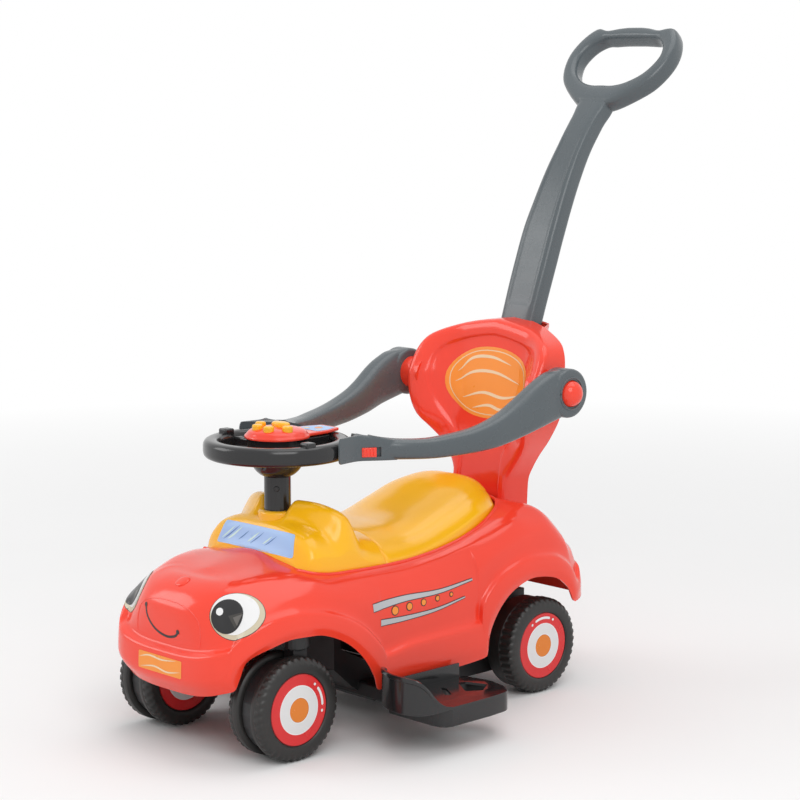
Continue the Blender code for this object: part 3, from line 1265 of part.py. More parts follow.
def inset_outline(points, distance):
    """Outline moved inward by a distance; the points run anticlockwise or clockwise alike."""
    total = len(points)
    area = sum(points[i][0] * points[(i + 1) % total][1] - points[(i + 1) % total][0] * points[i][1]
               for i in range(total))
    turn = 1.0 if area > 0 else -1.0
    made = []
    for i in range(total):
        before, here, after = (Vector(points[(i + d) % total]) for d in (-1, 0, 1))
        n1 = (here - before).normalized()
        n2 = (after - here).normalized()
        inward = (Vector((-n1.y, n1.x)) + Vector((-n2.y, n2.x))) * turn
        scale = max(inward.length ** 2 / 2.0, 0.6)
        made.append(tuple(here + inward * distance / scale))
    return made


def mirrored(points, side):
    return [(side * x, y) for x, y in points]


def toe_guard_rings(side):
    """Rimmed wall round the front of the footrest, falling away on its outer face."""
    outline = footrest_outline()[:9]
    inner = inset_outline(footrest_outline(), FOOT_WALL)[:9]
    rim = inset_outline(footrest_outline(), -FOOT_RIM)[:9]
    tops = [FOOT_GUARD_Z - drop for drop in (0.0080, 0.0040, 0.0010, 0.0, 0.0, 0.0010, 0.0060, 0.0240)]
    tops.append(FOOT_TOP_Z)
    rings = []
    for (ox, oy), (ix, iy), (rx, ry), top in zip(outline, inner, rim, tops):
        under = max(top - 0.0075, FOOT_TOP_Z - 0.0015)
        low = FOOT_TOP_Z - FOOT_WALL + 0.0005
        rings.append([(side * ox, oy, low), (side * ox, oy, under - 0.0010), (side * min(rx, FOOT_OUTER_X), ry, under),
                      (side * min(rx, FOOT_OUTER_X), ry, top), (side * ix, iy, top), (side * ix, iy, low)])
    return rings


def footrest(name, side):
    outline = mirrored(footrest_outline(), side)
    skirt = mirrored(skirt_outline(), side)
    item = part(name, outline_mesh(outline, FOOT_TOP_Z - FOOT_WALL, FOOT_TOP_Z), "black")
    join(item, name + "_skirt", outline_mesh(skirt, FOOT_SKIRT_Z, FOOT_TOP_Z - 0.001))
    hollow = inset_outline(skirt, FOOT_WALL)
    cut(item, name + "_hollow", outline_mesh(hollow, FOOT_SKIRT_Z - 0.01, FOOT_TOP_Z - FOOT_WALL))
    join(item, name + "_toe_guard", loft_mesh(toe_guard_rings(side)))
    near, far = sorted((side * FOOT_INNER_X, side * (FOOT_INNER_X + FOOT_WALL)))
    join(item, name + "_upstand", box_mesh((near, -0.0850, FOOT_TOP_Z - 0.002), (far, 0.0380, FOOT_UPSTAND_Z)))
    large = from_inner_edge([(0.0200, 0.0180), (0.0240, 0.0280), (0.0510, 0.0385), (0.0660, 0.0150),
                             (0.0540, -0.0035)])
    small = from_inner_edge([(0.0210, -0.0130), (0.0290, -0.0110), (0.0550, -0.0270), (0.0485, -0.0340)])
    for label, window in (("large", large), ("small", small)):
        cutter = outline_mesh(mirrored(window, side), FOOT_SKIRT_Z - 0.01, FOOT_TOP_Z + 0.01)
        cut(item, name + "_window_" + label, cutter)
    near, far = sorted((side * (FOOT_INNER_X - 0.005), side * (BEAM_HALF_LENGTH + GAP)))
    cut(item, name + "_beam_pocket", box_mesh((near, BEAM_FRONT_Y - GAP, FOOT_SKIRT_Z - 0.004),
                                              (far, BEAM_REAR_Y + GAP, FOOT_TOP_Z - FOOT_WALL)))
    return item


def hood_plug():
    profile = [(0.0, 0.0020), (0.0080, 0.0014), (0.0096, 0.0003), (0.0082, 0.0003),
               (0.0082, -0.0060), (0.0, -0.0060)]
    seat, tilt = plug_seat()
    item = screw_part("hood_plug", profile, "red", seat, steps=14)
    item.rotation_euler = (tilt, 0.0, 0.0)
    return item


def settle_origin():
    """Hangs every piece under one empty, so that the origin lies under the car's middle."""
    bpy.context.view_layer.update()
    depsgraph = bpy.context.evaluated_depsgraph_get()
    ys = []
    for item in bpy.data.collections["push_car"].objects:
        shown = item.evaluated_get(depsgraph)
        ys += [(shown.matrix_world @ v.co).y for v in shown.data.vertices]
    hook = bpy.data.objects.new("car_origin", None)
    collection("push_car").objects.link(hook)
    for item in list(bpy.data.objects):
        if item is not hook:
            item.parent = hook
    hook.location = (0.0, -(min(ys) + max(ys)) / 2, 0.0)


def build_car():
    clear_scene()
    body_shell()
    hood_plug()
    dash_cowl()
    seat_lid()
    seat_hinge_pin()
    inner_deck()
    chassis()
    casters()
    rear_running_gear()
    steering_column()
    column_screw()
    steering_wheel()
    music_pod()
    music_buttons()
    guard_arm("guard_arm_left", 1)
    guard_arm("guard_arm_right", -1)
    latch_slider()
    pivot_hardware()
    backrest_front()
    backrest_rear()
    push_handle()
    footrest("footrest_left", 1)
    footrest("footrest_right", -1)
    settle_origin()


if __name__ == "__main__":
    build_car()
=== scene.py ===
"""Looks of a toddler push car: moulded plastic, tyres, stickers, fasteners and a studio.

Metres, +Z up, nose towards -Y, the car's left side towards +X. Every piece is modelled from
the middle between the axles, on the ground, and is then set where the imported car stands.
"""
import math

import bmesh
import bpy
from bpy.props import FloatProperty, FloatVectorProperty, IntProperty, PointerProperty
from mathutils import Matrix, Vector
from mathutils.bvhtree import BVHTree


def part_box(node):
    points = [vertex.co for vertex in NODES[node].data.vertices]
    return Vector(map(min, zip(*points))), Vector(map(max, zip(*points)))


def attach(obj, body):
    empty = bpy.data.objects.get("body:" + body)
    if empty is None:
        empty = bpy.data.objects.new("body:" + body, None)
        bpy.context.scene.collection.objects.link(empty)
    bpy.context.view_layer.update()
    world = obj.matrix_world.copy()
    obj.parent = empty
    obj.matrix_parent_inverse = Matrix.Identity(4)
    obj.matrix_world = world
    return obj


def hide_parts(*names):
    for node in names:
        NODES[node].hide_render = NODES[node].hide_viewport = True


bl_info = {
    "name": "Toddler push car looks",
    "version": (1, 0, 0),
    "blender": (4, 5, 0),
    "location": "3D View > Sidebar > Push Car",
    "description": "Dresses the packed push car with plastic finishes, tyres, stickers and a studio",
    "category": "Object",
}

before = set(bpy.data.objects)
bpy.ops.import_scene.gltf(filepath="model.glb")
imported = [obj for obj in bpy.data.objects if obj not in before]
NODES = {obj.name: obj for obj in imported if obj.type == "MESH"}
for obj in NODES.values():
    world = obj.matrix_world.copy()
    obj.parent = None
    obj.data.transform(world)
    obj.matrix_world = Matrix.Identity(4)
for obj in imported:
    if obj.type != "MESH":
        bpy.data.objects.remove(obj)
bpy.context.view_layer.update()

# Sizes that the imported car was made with
GAP = 0.0003
SHADOW_GAP = 0.0006
WHEEL_RADIUS = 0.0625
WHEELBASE = 0.4288
TREAD_WIDTH = 0.020
DISC_RADIUS = 0.0433
DISC_RECESS = 0.0035
AXLE_RADIUS = 0.0040
REAR_WHEEL_OUTER = 0.1275
REAR_DRUM_WIDTH = 0.030
REAR_DRUM_RADIUS = 0.0600
CASTER_X = 0.1048
CASTER_WEB = 0.0170
CASTER_SIDE_PLAY = 0.0015
BODY_HALF_WIDTH = 0.1330
FLARE = 0.0080
SHOULDER_INSET = 0.0150
BELT_INSET = 0.0295
NOSE_Y = -0.3160
TAIL_Y = 0.3060
NOSE_SQUARENESS = 4.7
TAIL_SQUARENESS = 8.0
BROW_SQUARENESS = 3.2
SHELL_WALL = 0.0026
FRONT_ARCH_Y = -0.2050
FRONT_ARCH_Z = 0.0290
FRONT_ARCH_RADIUS = 0.1200
REAR_ARCH_Y = 0.1900
REAR_ARCH_Z = 0.0665
REAR_ARCH_RADIUS = 0.0930
NOSE_LIP_Z = 0.0780
TAIL_LIP_Z = 0.1150
TAIL_BAND = 0.0400
SEAM_Y = -0.0410
SEAM_GAP = 0.0008
WELL_FRONT_Y = -0.1720
WELL_REAR_Y = 0.1960
WELL_HALF_WIDTH = 0.1000
SKIRT_FOOT_Z = 0.1860
MOULD_WALL = 0.0025
HINGE_Y = -0.0334
HINGE_Z = 0.2333
STEER_Y = -0.1300
COLUMN_RADIUS = 0.0165
RING_RADIUS = 0.0907
RING_TUBE_WIDTH = 0.0215
RING_LOW = 0.3380
RING_HIGH = 0.3610
BOWL_RADIUS = 0.0345
BOWL_FOOT = 0.3140
SPIGOT_RADIUS = 0.0100
SPIGOT_TOP = 0.3300
POD_RADIUS = 0.0401
POD_FOOT = 0.3620
POD_TOP = 0.3745
TRAY_REACH = 0.0885
TRAY_THICKNESS = 0.0035
BUTTON_TRAVEL = 0.0015
BUTTON_RADIUS = 0.0065
PIVOT_Y = 0.2245
PIVOT_Z = 0.3960
PIVOT_X = 0.1310
ARM_THICKNESS = 0.0310
ARM_END_RADIUS = 0.0315
PIVOT_BUTTON_RADIUS = 0.0172
PIVOT_PIN_RADIUS = 0.0060
SADDLE_GAP = 0.0030
LATCH_LENGTH = 0.0180
LATCH_HEIGHT = 0.0115
LATCH_TRAVEL = 0.0060
LATCH_DEPTH = 0.0095
LATCH_PLACE = (0.0980, -0.0605, 0.3470)
BACK_LEAN = 0.1600
BACK_MID_Y = 0.2400
BACK_MID_Z = 0.3920
BACK_FOOT_HALF_WIDTH = 0.0480
BACK_FOOT_Z = 0.1863
BACK_KNEE_Z = 0.2620
BACK_WING = 0.0410
BACK_WALL = 0.0026
BACK_BOSS_RADIUS = 0.0210
FOOT_INNER_X = 0.1450
FOOT_WIDTH = 0.0940
FOOT_TOP_Z = 0.0580
FOOT_SKIRT_Z = 0.0340
FOOT_UPSTAND_Z = 0.0760
FOOT_WALL = 0.0030
BEAM_HALF_LENGTH = 0.1600
BEAM_FRONT_Y = -0.0580
BEAM_REAR_Y = 0.0040
LOOP_LEAN = 0.9000
LOOP_THICKNESS = 0.0270
HANDLE_PLAY = 0.0005

# Directions
ACROSS = Vector((1.0, 0.0, 0.0))
REARWARD = Vector((0.0, 1.0, 0.0))
UP = Vector((0.0, 0.0, 1.0))
DOWN = -UP

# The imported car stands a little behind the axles' middle
AXLE_LOW, AXLE_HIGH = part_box("rear_axle")
PLACE = Vector((0.0, (AXLE_LOW.y + AXLE_HIGH.y) / 2 - WHEELBASE / 2, 0.0))

SMOOTH_ANGLE = math.radians(34.0)
SIDES = ((1, "left"), (-1, "right"))


# Curves through a few points

def smooth_value(keys, at):
    """Height of a smooth curve through (position, value) keys, without overshoot."""
    if at <= keys[0][0]:
        return keys[0][1]
    if at >= keys[-1][0]:
        return keys[-1][1]
    slopes = [(b[1] - a[1]) / (b[0] - a[0]) for a, b in zip(keys, keys[1:])]
    tangents = [slopes[0]]
    for left, right in zip(slopes, slopes[1:]):
        tangents.append(0.0 if left * right <= 0.0 else 2.0 * left * right / (left + right))
    tangents.append(slopes[-1])
    index = max(i for i in range(len(keys) - 1) if keys[i][0] <= at)
    (p0, v0), (p1, v1) = keys[index], keys[index + 1]
    span = p1 - p0
    t = (at - p0) / span
    h00 = (1 + 2 * t) * (1 - t) ** 2
    h10 = t * (1 - t) ** 2
    h01 = t * t * (3 - 2 * t)
    h11 = t * t * (t - 1)
    return h00 * v0 + h10 * span * tangents[index] + h01 * v1 + h11 * span * tangents[index + 1]


def flipped(point):
    """The same point on the other side of the car."""
    return Vector((-point.x, *point[1:]))


def smooth_path(points, count, start_on_plane=False, end_on_plane=False):
    """Points on a Catmull-Rom curve; an end on the middle plane leaves it squarely."""
    keys = [Vector(p) for p in points]
    spans = len(keys) - 1
    made = []
    for i in range(count):
        place = spans * i / (count - 1)
        k = min(int(place), spans - 1)
        t = place - k
        p1, p2 = keys[k], keys[k + 1]
        before = flipped(p2) if start_on_plane else p1 + (p1 - p2)
        after = flipped(p1) if end_on_plane else p2 + (p2 - p1)
        p0 = keys[k - 1] if k > 0 else before
        p3 = keys[k + 2] if k + 2 <= spans else after
        made.append(0.5 * (2 * p1 + (p2 - p0) * t + (2 * p0 - 5 * p1 + 4 * p2 - p3) * t * t
                           + (3 * p1 - p0 - 3 * p2 + p3) * t ** 3))
    return made


def finer(values, parts):
    """Splits each step of a list of numbers into equal parts."""
    made = []
    for a, b in zip(values, values[1:]):
        made += [a + (b - a) * i / parts for i in range(parts)]
    return made + [values[-1]]


def clamped(t):
    """A share kept between nothing and all."""
    return min(max(t, 0.0), 1.0)


def ease(t):
    """A share that starts and ends gently."""
    t = clamped(t)
    return t * t * (3 - 2 * t)


def superellipse(angle, power):
    """Point at an angle on a unit circle that squares off as the power falls."""
    c, s = math.cos(angle), math.sin(angle)
    return math.copysign(abs(c) ** power, c), math.copysign(abs(s) ** power, s)


# Meshes

def round_ring(radius, sides, z, y=0.0):
    """Points of a level circle round (0, y, z)."""
    turns = [math.tau * i / sides for i in range(sides)]
    return [(radius * math.cos(turn), y + radius * math.sin(turn), z) for turn in turns]


def finished(bm):
    """Turns a mesh under construction into a finished one, its faces turned outward."""
    bmesh.ops.recalc_face_normals(bm, faces=bm.faces)
    mesh = bpy.data.meshes.new("mesh")
    bm.to_mesh(mesh)
    bm.free()
    return mesh


def skin(bm, rows):
    """Quads between neighbouring rows of equally many corners."""
    for a, b in zip(rows, rows[1:]):
        for i in range(len(a) - 1):
            bm.faces.new((a[i], a[i + 1], b[i + 1], b[i]))


def round_rims(bm, width):
    """Rounds the edges that lie level, as at the ends of a pulled or turned shape."""
    rims = [e for e in bm.edges if abs(e.verts[0].co.z - e.verts[1].co.z) < 1e-6]
    bmesh.ops.bevel(bm, geom=rims, offset=width, segments=3, profile=0.5, affect="EDGES")


def box_mesh(low, high, bevel=0.0, segments=2):
    """A box between two corners."""
    low, high = Vector(low), Vector(high)
    bm = bmesh.new()
    bmesh.ops.create_cube(bm, size=1.0)
    bmesh.ops.scale(bm, vec=high - low, verts=bm.verts)
    bmesh.ops.translate(bm, vec=(low + high) / 2, verts=bm.verts)
    if bevel:
        bmesh.ops.bevel(bm, geom=bm.edges[:], offset=bevel, segments=segments, profile=0.5,
                        affect="EDGES")
    return finished(bm)


def cylinder_mesh(start, end, radius, sides, bevel=0.0):
    """A round bar from one place to another."""
    start, end = Vector(start), Vector(end)
    axis = end - start
    bm = bmesh.new()
    bmesh.ops.create_cone(bm, cap_ends=True, segments=sides, radius1=radius, radius2=radius,
                          depth=axis.length)
    if bevel:
        round_rims(bm, bevel)
    turn = axis.to_track_quat("Z", "Y").to_matrix().to_4x4()
    bmesh.ops.transform(bm, matrix=Matrix.Translation((start + end) / 2) @ turn, verts=bm.verts)
    return finished(bm)


def outline_mesh(points, low, high, bevel=0.0):
    """A flat outline pulled straight up, with its long edges rounded."""
    bm = bmesh.new()
    foot = bm.faces.new([bm.verts.new((p[0], p[1], low)) for p in points])
    pulled = bmesh.ops.extrude_face_region(bm, geom=[foot])["geom"]
    raised = [v for v in pulled if isinstance(v, bmesh.types.BMVert)]
    bmesh.ops.translate(bm, vec=(0.0, 0.0, high - low), verts=raised)
    if bevel:
        round_rims(bm, bevel)
    return finished(bm)


def loft_mesh(rings, closed_rings=True, caps=True, loop=False):
    """Quads between rings of equally many points, capped at both ends."""
    bm = bmesh.new()
    rows = [[bm.verts.new(p) for p in ring] for ring in rings]
    count = len(rows[0])
    last = count if closed_rings else count - 1
    pairs = list(zip(rows, rows[1:]))
    if loop:
        pairs.append((rows[-1], rows[0]))
    for a, b in pairs:
        for i in range(last):
            k = (i + 1) % count
            bm.faces.new((a[i], a[k], b[k], b[i]))
    if caps and not loop:
        bm.faces.new(rows[0])
        bm.faces.new(rows[-1])
    return finished(bm)


def turned_mesh(profile, sides, bump):
    """A (radius, along) profile turned about X; bump(turn, row) adds to a radius."""
    rings = []
    for i in range(sides):
        angle = math.tau * i / sides
        ring = []
        for k, (radius, along) in enumerate(profile):
            r = radius + bump(i / sides, k)
            ring.append((along, r * math.cos(angle), r * math.sin(angle)))
        rings.append(ring)
    return loft_mesh(rings, caps=False, loop=True)


def tube_mesh(path, radius, sides, closed=False):
    """A round bead that follows a path."""
    points = [Vector(p) for p in path]
    total = len(points)
    rings = []
    for i, here in enumerate(points):
        ahead = points[(i + 1) % total] if closed or i + 1 < total else here
        behind = points[i - 1] if closed or i > 0 else here
        run = (ahead - behind).normalized()
        side = run.cross(Vector((0.0, 0.0, 1.0)))
        side = side.normalized() if side.length > 1e-4 else Vector((1.0, 0.0, 0.0))
        up = side.cross(run)
        rings.append([here + radius * (side * math.cos(math.tau * k / sides)
                                       + up * math.sin(math.tau * k / sides)) for k in range(sides)])
    return loft_mesh(rings, caps=not closed, loop=closed)


def raw(mesh):
    """A work piece that holds a mesh."""
    item = bpy.data.objects.new("work", mesh)
    bpy.context.scene.collection.objects.link(item)
    return item


def bake(item):
    """Turns the modifiers of a piece into its mesh."""
    bpy.context.view_layer.update()
    shown = item.evaluated_get(bpy.context.evaluated_depsgraph_get())
    made = bpy.data.meshes.new_from_object(shown)
    item.modifiers.clear()
    old = item.data
    item.data = made
    bpy.data.meshes.remove(old)


def carve(item, meshes, operation="DIFFERENCE", solver="EXACT"):
    """Cuts shapes out of a piece, or joins them to it."""
    for mesh in meshes:
        tool = raw(mesh)
        step = item.modifiers.new("carve", "BOOLEAN")
        step.operation = operation
        step.solver = solver
        step.object = tool
        bake(item)
        bpy.data.objects.remove(tool, do_unlink=True)


def named(item, name, finish):
    """Gives a piece its name and its one finish."""
    item.name = name
    item.data.name = name
    item.data.materials.clear()
    item.data.materials.append(finish)
    item.data.shade_smooth()


def settle(item, name, finish, body, nodes=(), centre=(0.0, 0.0, 0.0), centred=False):
    """Finishes a piece, sets it where the car stands and lets it ride.

    Its mesh is measured from the middle between the axles, or already from its own centre.
    """
    if not centred:
        item.data.transform(Matrix.Translation(-Vector(centre)))
    item.location = PLACE + Vector(centre)
    named(item, name, FINISHES[finish])
    item.data.set_sharp_from_angle(angle=SMOOTH_ANGLE)
    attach(item, body)
    if nodes:
        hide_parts(*nodes)


# Finishes

def node_link(tree, source, target):
    """Feeds one socket from another."""
    tree.links.new(source, target)


def maths(tree, kind, operation, *sources):
    """A maths node fed by the given sources."""
    made = tree.nodes.new(kind)
    made.operation = operation
    for socket, source in zip(made.inputs, sources):
        node_link(tree, source, socket)
    return made


def new_finish(name):
    """An empty finish: material, its nodes, its shader and the place on the piece."""
    made = bpy.data.materials.new(name)
    made.use_nodes = True
    tree = made.node_tree
    place = tree.nodes.new("ShaderNodeTexCoord").outputs["Object"]
    return made, tree, tree.nodes["Principled BSDF"], place


def noise(tree, place, scale, detail=2.0):
    """Cloudy values between 0 and 1."""
    made = tree.nodes.new("ShaderNodeTexNoise")
    made.inputs["Scale"].default_value = scale
    made.inputs["Detail"].default_value = detail
    node_link(tree, place, made.inputs["Vector"])
    return made.outputs["Fac"]


def spread(tree, source, low, high, start=0.3, end=0.7):
    """Values from start to end, spread from low to high."""
    made = tree.nodes.new("ShaderNodeMapRange")
    made.inputs["From Min"].default_value = start
    made.inputs["From Max"].default_value = end
    made.inputs["To Min"].default_value = low
    made.inputs["To Max"].default_value = high
    node_link(tree, source, made.inputs["Value"])
    return made.outputs["Result"]


def ramp(tree, source, stops, mode="LINEAR"):
    """Colours that follow a value through (position, colour) stops."""
    made = tree.nodes.new("ShaderNodeValToRGB")
    made.color_ramp.interpolation = mode
    marks = made.color_ramp.elements
    while len(marks) < len(stops):
        marks.new(1.0)
    for mark, (position, colour) in zip(marks, stops):
        mark.position = position
        mark.color = (*colour[:3], 1.0)
    node_link(tree, source, made.inputs["Fac"])
    return made.outputs["Color"]


def shaded(colour, share):
    """A colour made darker or lighter by a share."""
    return tuple(min(c * share, 1.0) for c in colour[:3])


def worn_edges(tree, tint, place, colour, share):
    """Sharp edges rubbed a little paler here and there than the faces beside them."""
    rounded_off = tree.nodes.new("ShaderNodeBevel")
    rounded_off.samples = 3
    rounded_off.inputs["Radius"].default_value = 0.0008
    facing = tree.nodes.new("ShaderNodeNewGeometry")
    turn = maths(tree, "ShaderNodeVectorMath", "DOT_PRODUCT", rounded_off.outputs["Normal"],
                 facing.outputs["Normal"])
    edge = spread(tree, turn.outputs["Value"], 1.0, 0.0, 0.80, 0.99)
    rubbed = spread(tree, noise(tree, place, 60.0, 3.0), 0.2, 1.0)
    patchy = maths(tree, "ShaderNodeMath", "MULTIPLY", edge, rubbed)
    blend = tree.nodes.new("ShaderNodeMix")
    blend.data_type = "RGBA"
    colour_a, colour_b = blend.inputs[6], blend.inputs[7]
    colour_b.default_value = (*[c + (0.8 - c) * share for c in colour[:3]], 1.0)
    node_link(tree, patchy.outputs["Value"], blend.inputs["Factor"])
    node_link(tree, tint, colour_a)
    return blend.outputs[2]


def relief(tree, shader, height, depth):
    """Fine relief of a given depth."""
    bump = tree.nodes.new("ShaderNodeBump")
    bump.inputs["Distance"].default_value = depth
    node_link(tree, height, bump.inputs["Height"])
    node_link(tree, bump.outputs["Normal"], shader.inputs["Normal"])


def moulded_skin(tree, shader, place, grain, depth, rough, play):
    """Roughness that drifts a little and the fine skin of a moulded surface."""
    node_link(tree, spread(tree, noise(tree, place, 46.0, 4.0), rough - play, rough + play),
              shader.inputs["Roughness"])
    relief(tree, shader, noise(tree, place, grain, 3.0), depth)


def moulded(name, colour, rough, grain, depth, drift, play, wear):
    """Moulded plastic: slow drift in its colour, paler ridges, and a skin of the given grain."""
    made, tree, shader, place = new_finish(name)
    tint = ramp(tree, noise(tree, place, 7.0, 3.0),
                ((0.30, shaded(colour, 1.0 - drift)), (0.70, shaded(colour, 1.0 + drift))))
    if wear > 0.0:
        tint = worn_edges(tree, tint, place, colour, wear)
    node_link(tree, tint, shader.inputs["Base Color"])
    moulded_skin(tree, shader, place, grain, depth, rough, play)
    made.diffuse_color = (*colour[:3], 1.0)
    return made


def drawn_steel(name):
    """Bright steel with fine turning marks along its length."""
    made, tree, shader, place = new_finish(name)
    stretch = tree.nodes.new("ShaderNodeMapping")
    stretch.inputs["Scale"].default_value = (18.0, 900.0, 900.0)
    node_link(tree, place, stretch.inputs["Vector"])
    marks = noise(tree, stretch.outputs["Vector"], 1.0, 4.0)
    node_link(tree, ramp(tree, marks, ((0.3, (0.42, 0.42, 0.44)), (0.7, (0.66, 0.66, 0.67)))),
              shader.inputs["Base Color"])
    shader.inputs["Metallic"].default_value = 1.0
    node_link(tree, spread(tree, marks, 0.22, 0.38), shader.inputs["Roughness"])
    relief(tree, shader, marks, 0.00002)
    return made


def printed_disc(name, looks):
    """Glossy wheel disc with an orange eye, a pale ring and a red field, told by radius; painted shade darkens
    the red at the rim.
    """
    made, tree, shader, place = new_finish(name)
    flatten = maths(tree, "ShaderNodeVectorMath", "MULTIPLY", place)
    flatten.inputs[1].default_value = (0.0, 1.0, 1.0)
    away = maths(tree, "ShaderNodeVectorMath", "LENGTH", flatten.outputs["Vector"])
    share = spread(tree, away.outputs["Value"], 0.0, 1.0, 0.0, DISC_RADIUS)
    orange, pale, red = looks.wheel_orange, looks.wheel_white, looks.wheel_red
    line = shaded(pale, 1.1)
    # The last stop paints shade on the rim's outer slope, where the disc sinks into the tyre.
    stops = ((0.0, orange), (0.0140 / DISC_RADIUS, shaded(orange, 0.75)), (0.0146 / DISC_RADIUS, line),
             (0.0156 / DISC_RADIUS, pale), (0.0284 / DISC_RADIUS, line), (0.0295 / DISC_RADIUS, red),
             (0.0420 / DISC_RADIUS, shaded(red, 0.62)))
    node_link(tree, ramp(tree, share, stops, "CONSTANT"), shader.inputs["Base Color"])
    moulded_skin(tree, shader, place, 1500.0, 0.000004, 0.24, 0.04)
    return made


def printed(name, colour):
    """Thin printed film over plastic; the same film also carries the painted sheen on the pupils."""
    return moulded(name, colour, 0.30, 1800.0, 0.000003, 0.04, 0.03, 0.0)


def stage_finish(name, colour):
    """Plain pale floor that takes the car's shadow and brightens to white further out."""
    made, tree, shader, place = new_finish(name)
    node_link(tree, ramp(tree, noise(tree, place, 3.0), ((0.3, shaded(colour, 0.99)), (0.7, colour))),
              shader.inputs["Base Color"])
    shader.inputs["Roughness"].default_value = 0.85
    shader.inputs["Specular IOR Level"].default_value = 0.15
    away = maths(tree, "ShaderNodeVectorMath", "LENGTH", place)
    glow = tree.nodes.new("ShaderNodeEmission")
    glow.inputs["Color"].default_value = (1.0, 1.0, 1.0, 1.0)
    mix = tree.nodes.new("ShaderNodeMixShader")
    node_link(tree, spread(tree, away.outputs["Value"], 0.0, 1.0, 0.9, 2.6), mix.inputs["Fac"])
    node_link(tree, shader.outputs["BSDF"], mix.inputs[1])
    node_link(tree, glow.outputs["Emission"], mix.inputs[2])
    node_link(tree, mix.outputs["Shader"], tree.nodes["Material Output"].inputs["Surface"])
    return made


# Settings that a user would change

def colour_setting(name, note, value):
    """A colour in the sidebar."""
    return FloatVectorProperty(name=name, description=note, subtype="COLOR", size=3, min=0.0, max=1.0,
                               default=value)


class PushCarLooks(bpy.types.PropertyGroup):
    """Colours and small sizes of the car's finishes."""
    red: colour_setting("Body red", "Coral red of the body, backrest and pod", (0.92, 0.055, 0.026))
    yellow: colour_setting("Seat yellow", "Warm yellow of the seat, dash and buttons", (1.0, 0.50, 0.006))
    grey: colour_setting("Arm grey", "Slate grey of the guard arms and the push handle",
                         (0.088, 0.105, 0.115))
    black: colour_setting("Trim black", "Black of the wheel, column, footrests and underbody",
                          (0.016, 0.016, 0.017))
    tyre: colour_setting("Tyre black", "Black of the moulded tyres", (0.017, 0.016, 0.015))
    wheel_red: colour_setting("Disc red", "Red field of the wheel discs", (0.72, 0.020, 0.022))
    wheel_white: colour_setting("Disc white", "Pale ring of the wheel discs", (0.76, 0.76, 0.76))
    wheel_orange: colour_setting("Disc orange", "Orange middle of the wheel discs",
                                 (0.78, 0.215, 0.014))
    sticker_orange: colour_setting("Sticker orange", "Ground colour of the stickers", (0.95, 0.30, 0.03))
    screen_blue: colour_setting("Screen blue", "Sky blue of the windscreen sticker", (0.34, 0.54, 0.88))
    lug_count: IntProperty(name="Tread lugs", description="Lugs round each tyre shoulder",
                           default=40, min=8, max=90)
    lug_depth: FloatProperty(name="Lug depth", description="Depth of the grooves between lugs",
                             default=0.0017, min=0.0, max=0.003, unit="LENGTH")
    film: FloatProperty(name="Sticker film", description="How far a sticker stands off its surface",
                        default=0.00022, min=0.00005, max=0.001, unit="LENGTH")


class PushCarStage(bpy.types.PropertyGroup):
    """Floor, lamps and camera of the studio."""
    floor: colour_setting("Floor", "Colour of the floor and backdrop", (0.93, 0.93, 0.93))
    sky: FloatProperty(name="Room light", description="Strength of the light from all round", default=0.56,
                       min=0.0, max=2.0)
    key: FloatProperty(name="Key lamp", description="Power of the large lamp in front", default=49.0, min=0.0,
                       max=400.0, unit="POWER")
    lens: FloatProperty(name="Lens", description="Focal length of the camera in millimetres", default=105.14,
                        min=20.0, max=300.0)


# Red body shell

SHOULDER_HEIGHT = ((-0.30, 0.196), (-0.24, 0.2035), (-0.18, 0.2075), (-0.12, 0.199), (-0.04, 0.196),
                   (0.035, 0.201), (0.10, 0.214), (0.157, 0.232), (0.20, 0.240), (0.25, 0.216),
                   (0.29, 0.190))
BELT_HEIGHT = ((-0.265, 0.2095), (-0.20, 0.2165), (-0.12, 0.2075), (-0.04, 0.2045), (0.035, 0.2095),
               (0.10, 0.222), (0.157, 0.240), (0.205, 0.2485), (0.24, 0.2290), (0.275, 0.206))
HOOD_HEIGHT = ((-0.282, 0.2045), (-0.25, 0.2140), (-0.20, 0.2240), (-0.17, 0.2290), (0.0, 0.222),
               (0.10, 0.232), (0.20, 0.2550), (0.24, 0.2360), (0.27, 0.212))
DASH_YS = (WELL_FRONT_Y, -0.1655, -0.1600, -0.1545, -0.143, -0.132, -0.121, -0.110, -0.099, -0.088, -0.077,
           -0.060, SEAM_Y - SEAM_GAP / 2)
NOSE_LIP_TOP = 0.0990
SEAT_YS = (-0.008, 0.025, 0.060, 0.092, 0.120, 0.143, 0.162, 0.177, 0.188, WELL_REAR_Y - 0.0025,
           WELL_REAR_Y - 0.0006)


def plan_x(y, half_width, nose, tail, nose_power, tail_power):
    """Half-width at y of an outline with squared-off rounded ends."""
    reach, power = (nose, nose_power) if y < 0.0 else (tail, tail_power)
    share = min(abs(y / reach), 1.0)
    return half_width * (1.0 - share ** power) ** (1.0 / power)


def plan_y(x, half_width, reach, power):
    """Place along the car of such an outline at x."""
    share = min(x / half_width, 1.0)
    return reach * (1.0 - share ** power) ** (1.0 / power)


def arch_stations(angles, middle, radius, forward, up):
    """Slices round a wheel arch; the flare's crest stands off the lip by forward and up."""
    made = []
    for angle in angles:
        a = math.radians(angle)
        y = middle[0] - radius * math.cos(a)
        z = middle[1] + radius * math.sin(a)
        made.append(((y, z), (y + smooth_value(forward, angle), z + smooth_value(up, angle)), None))
    return made


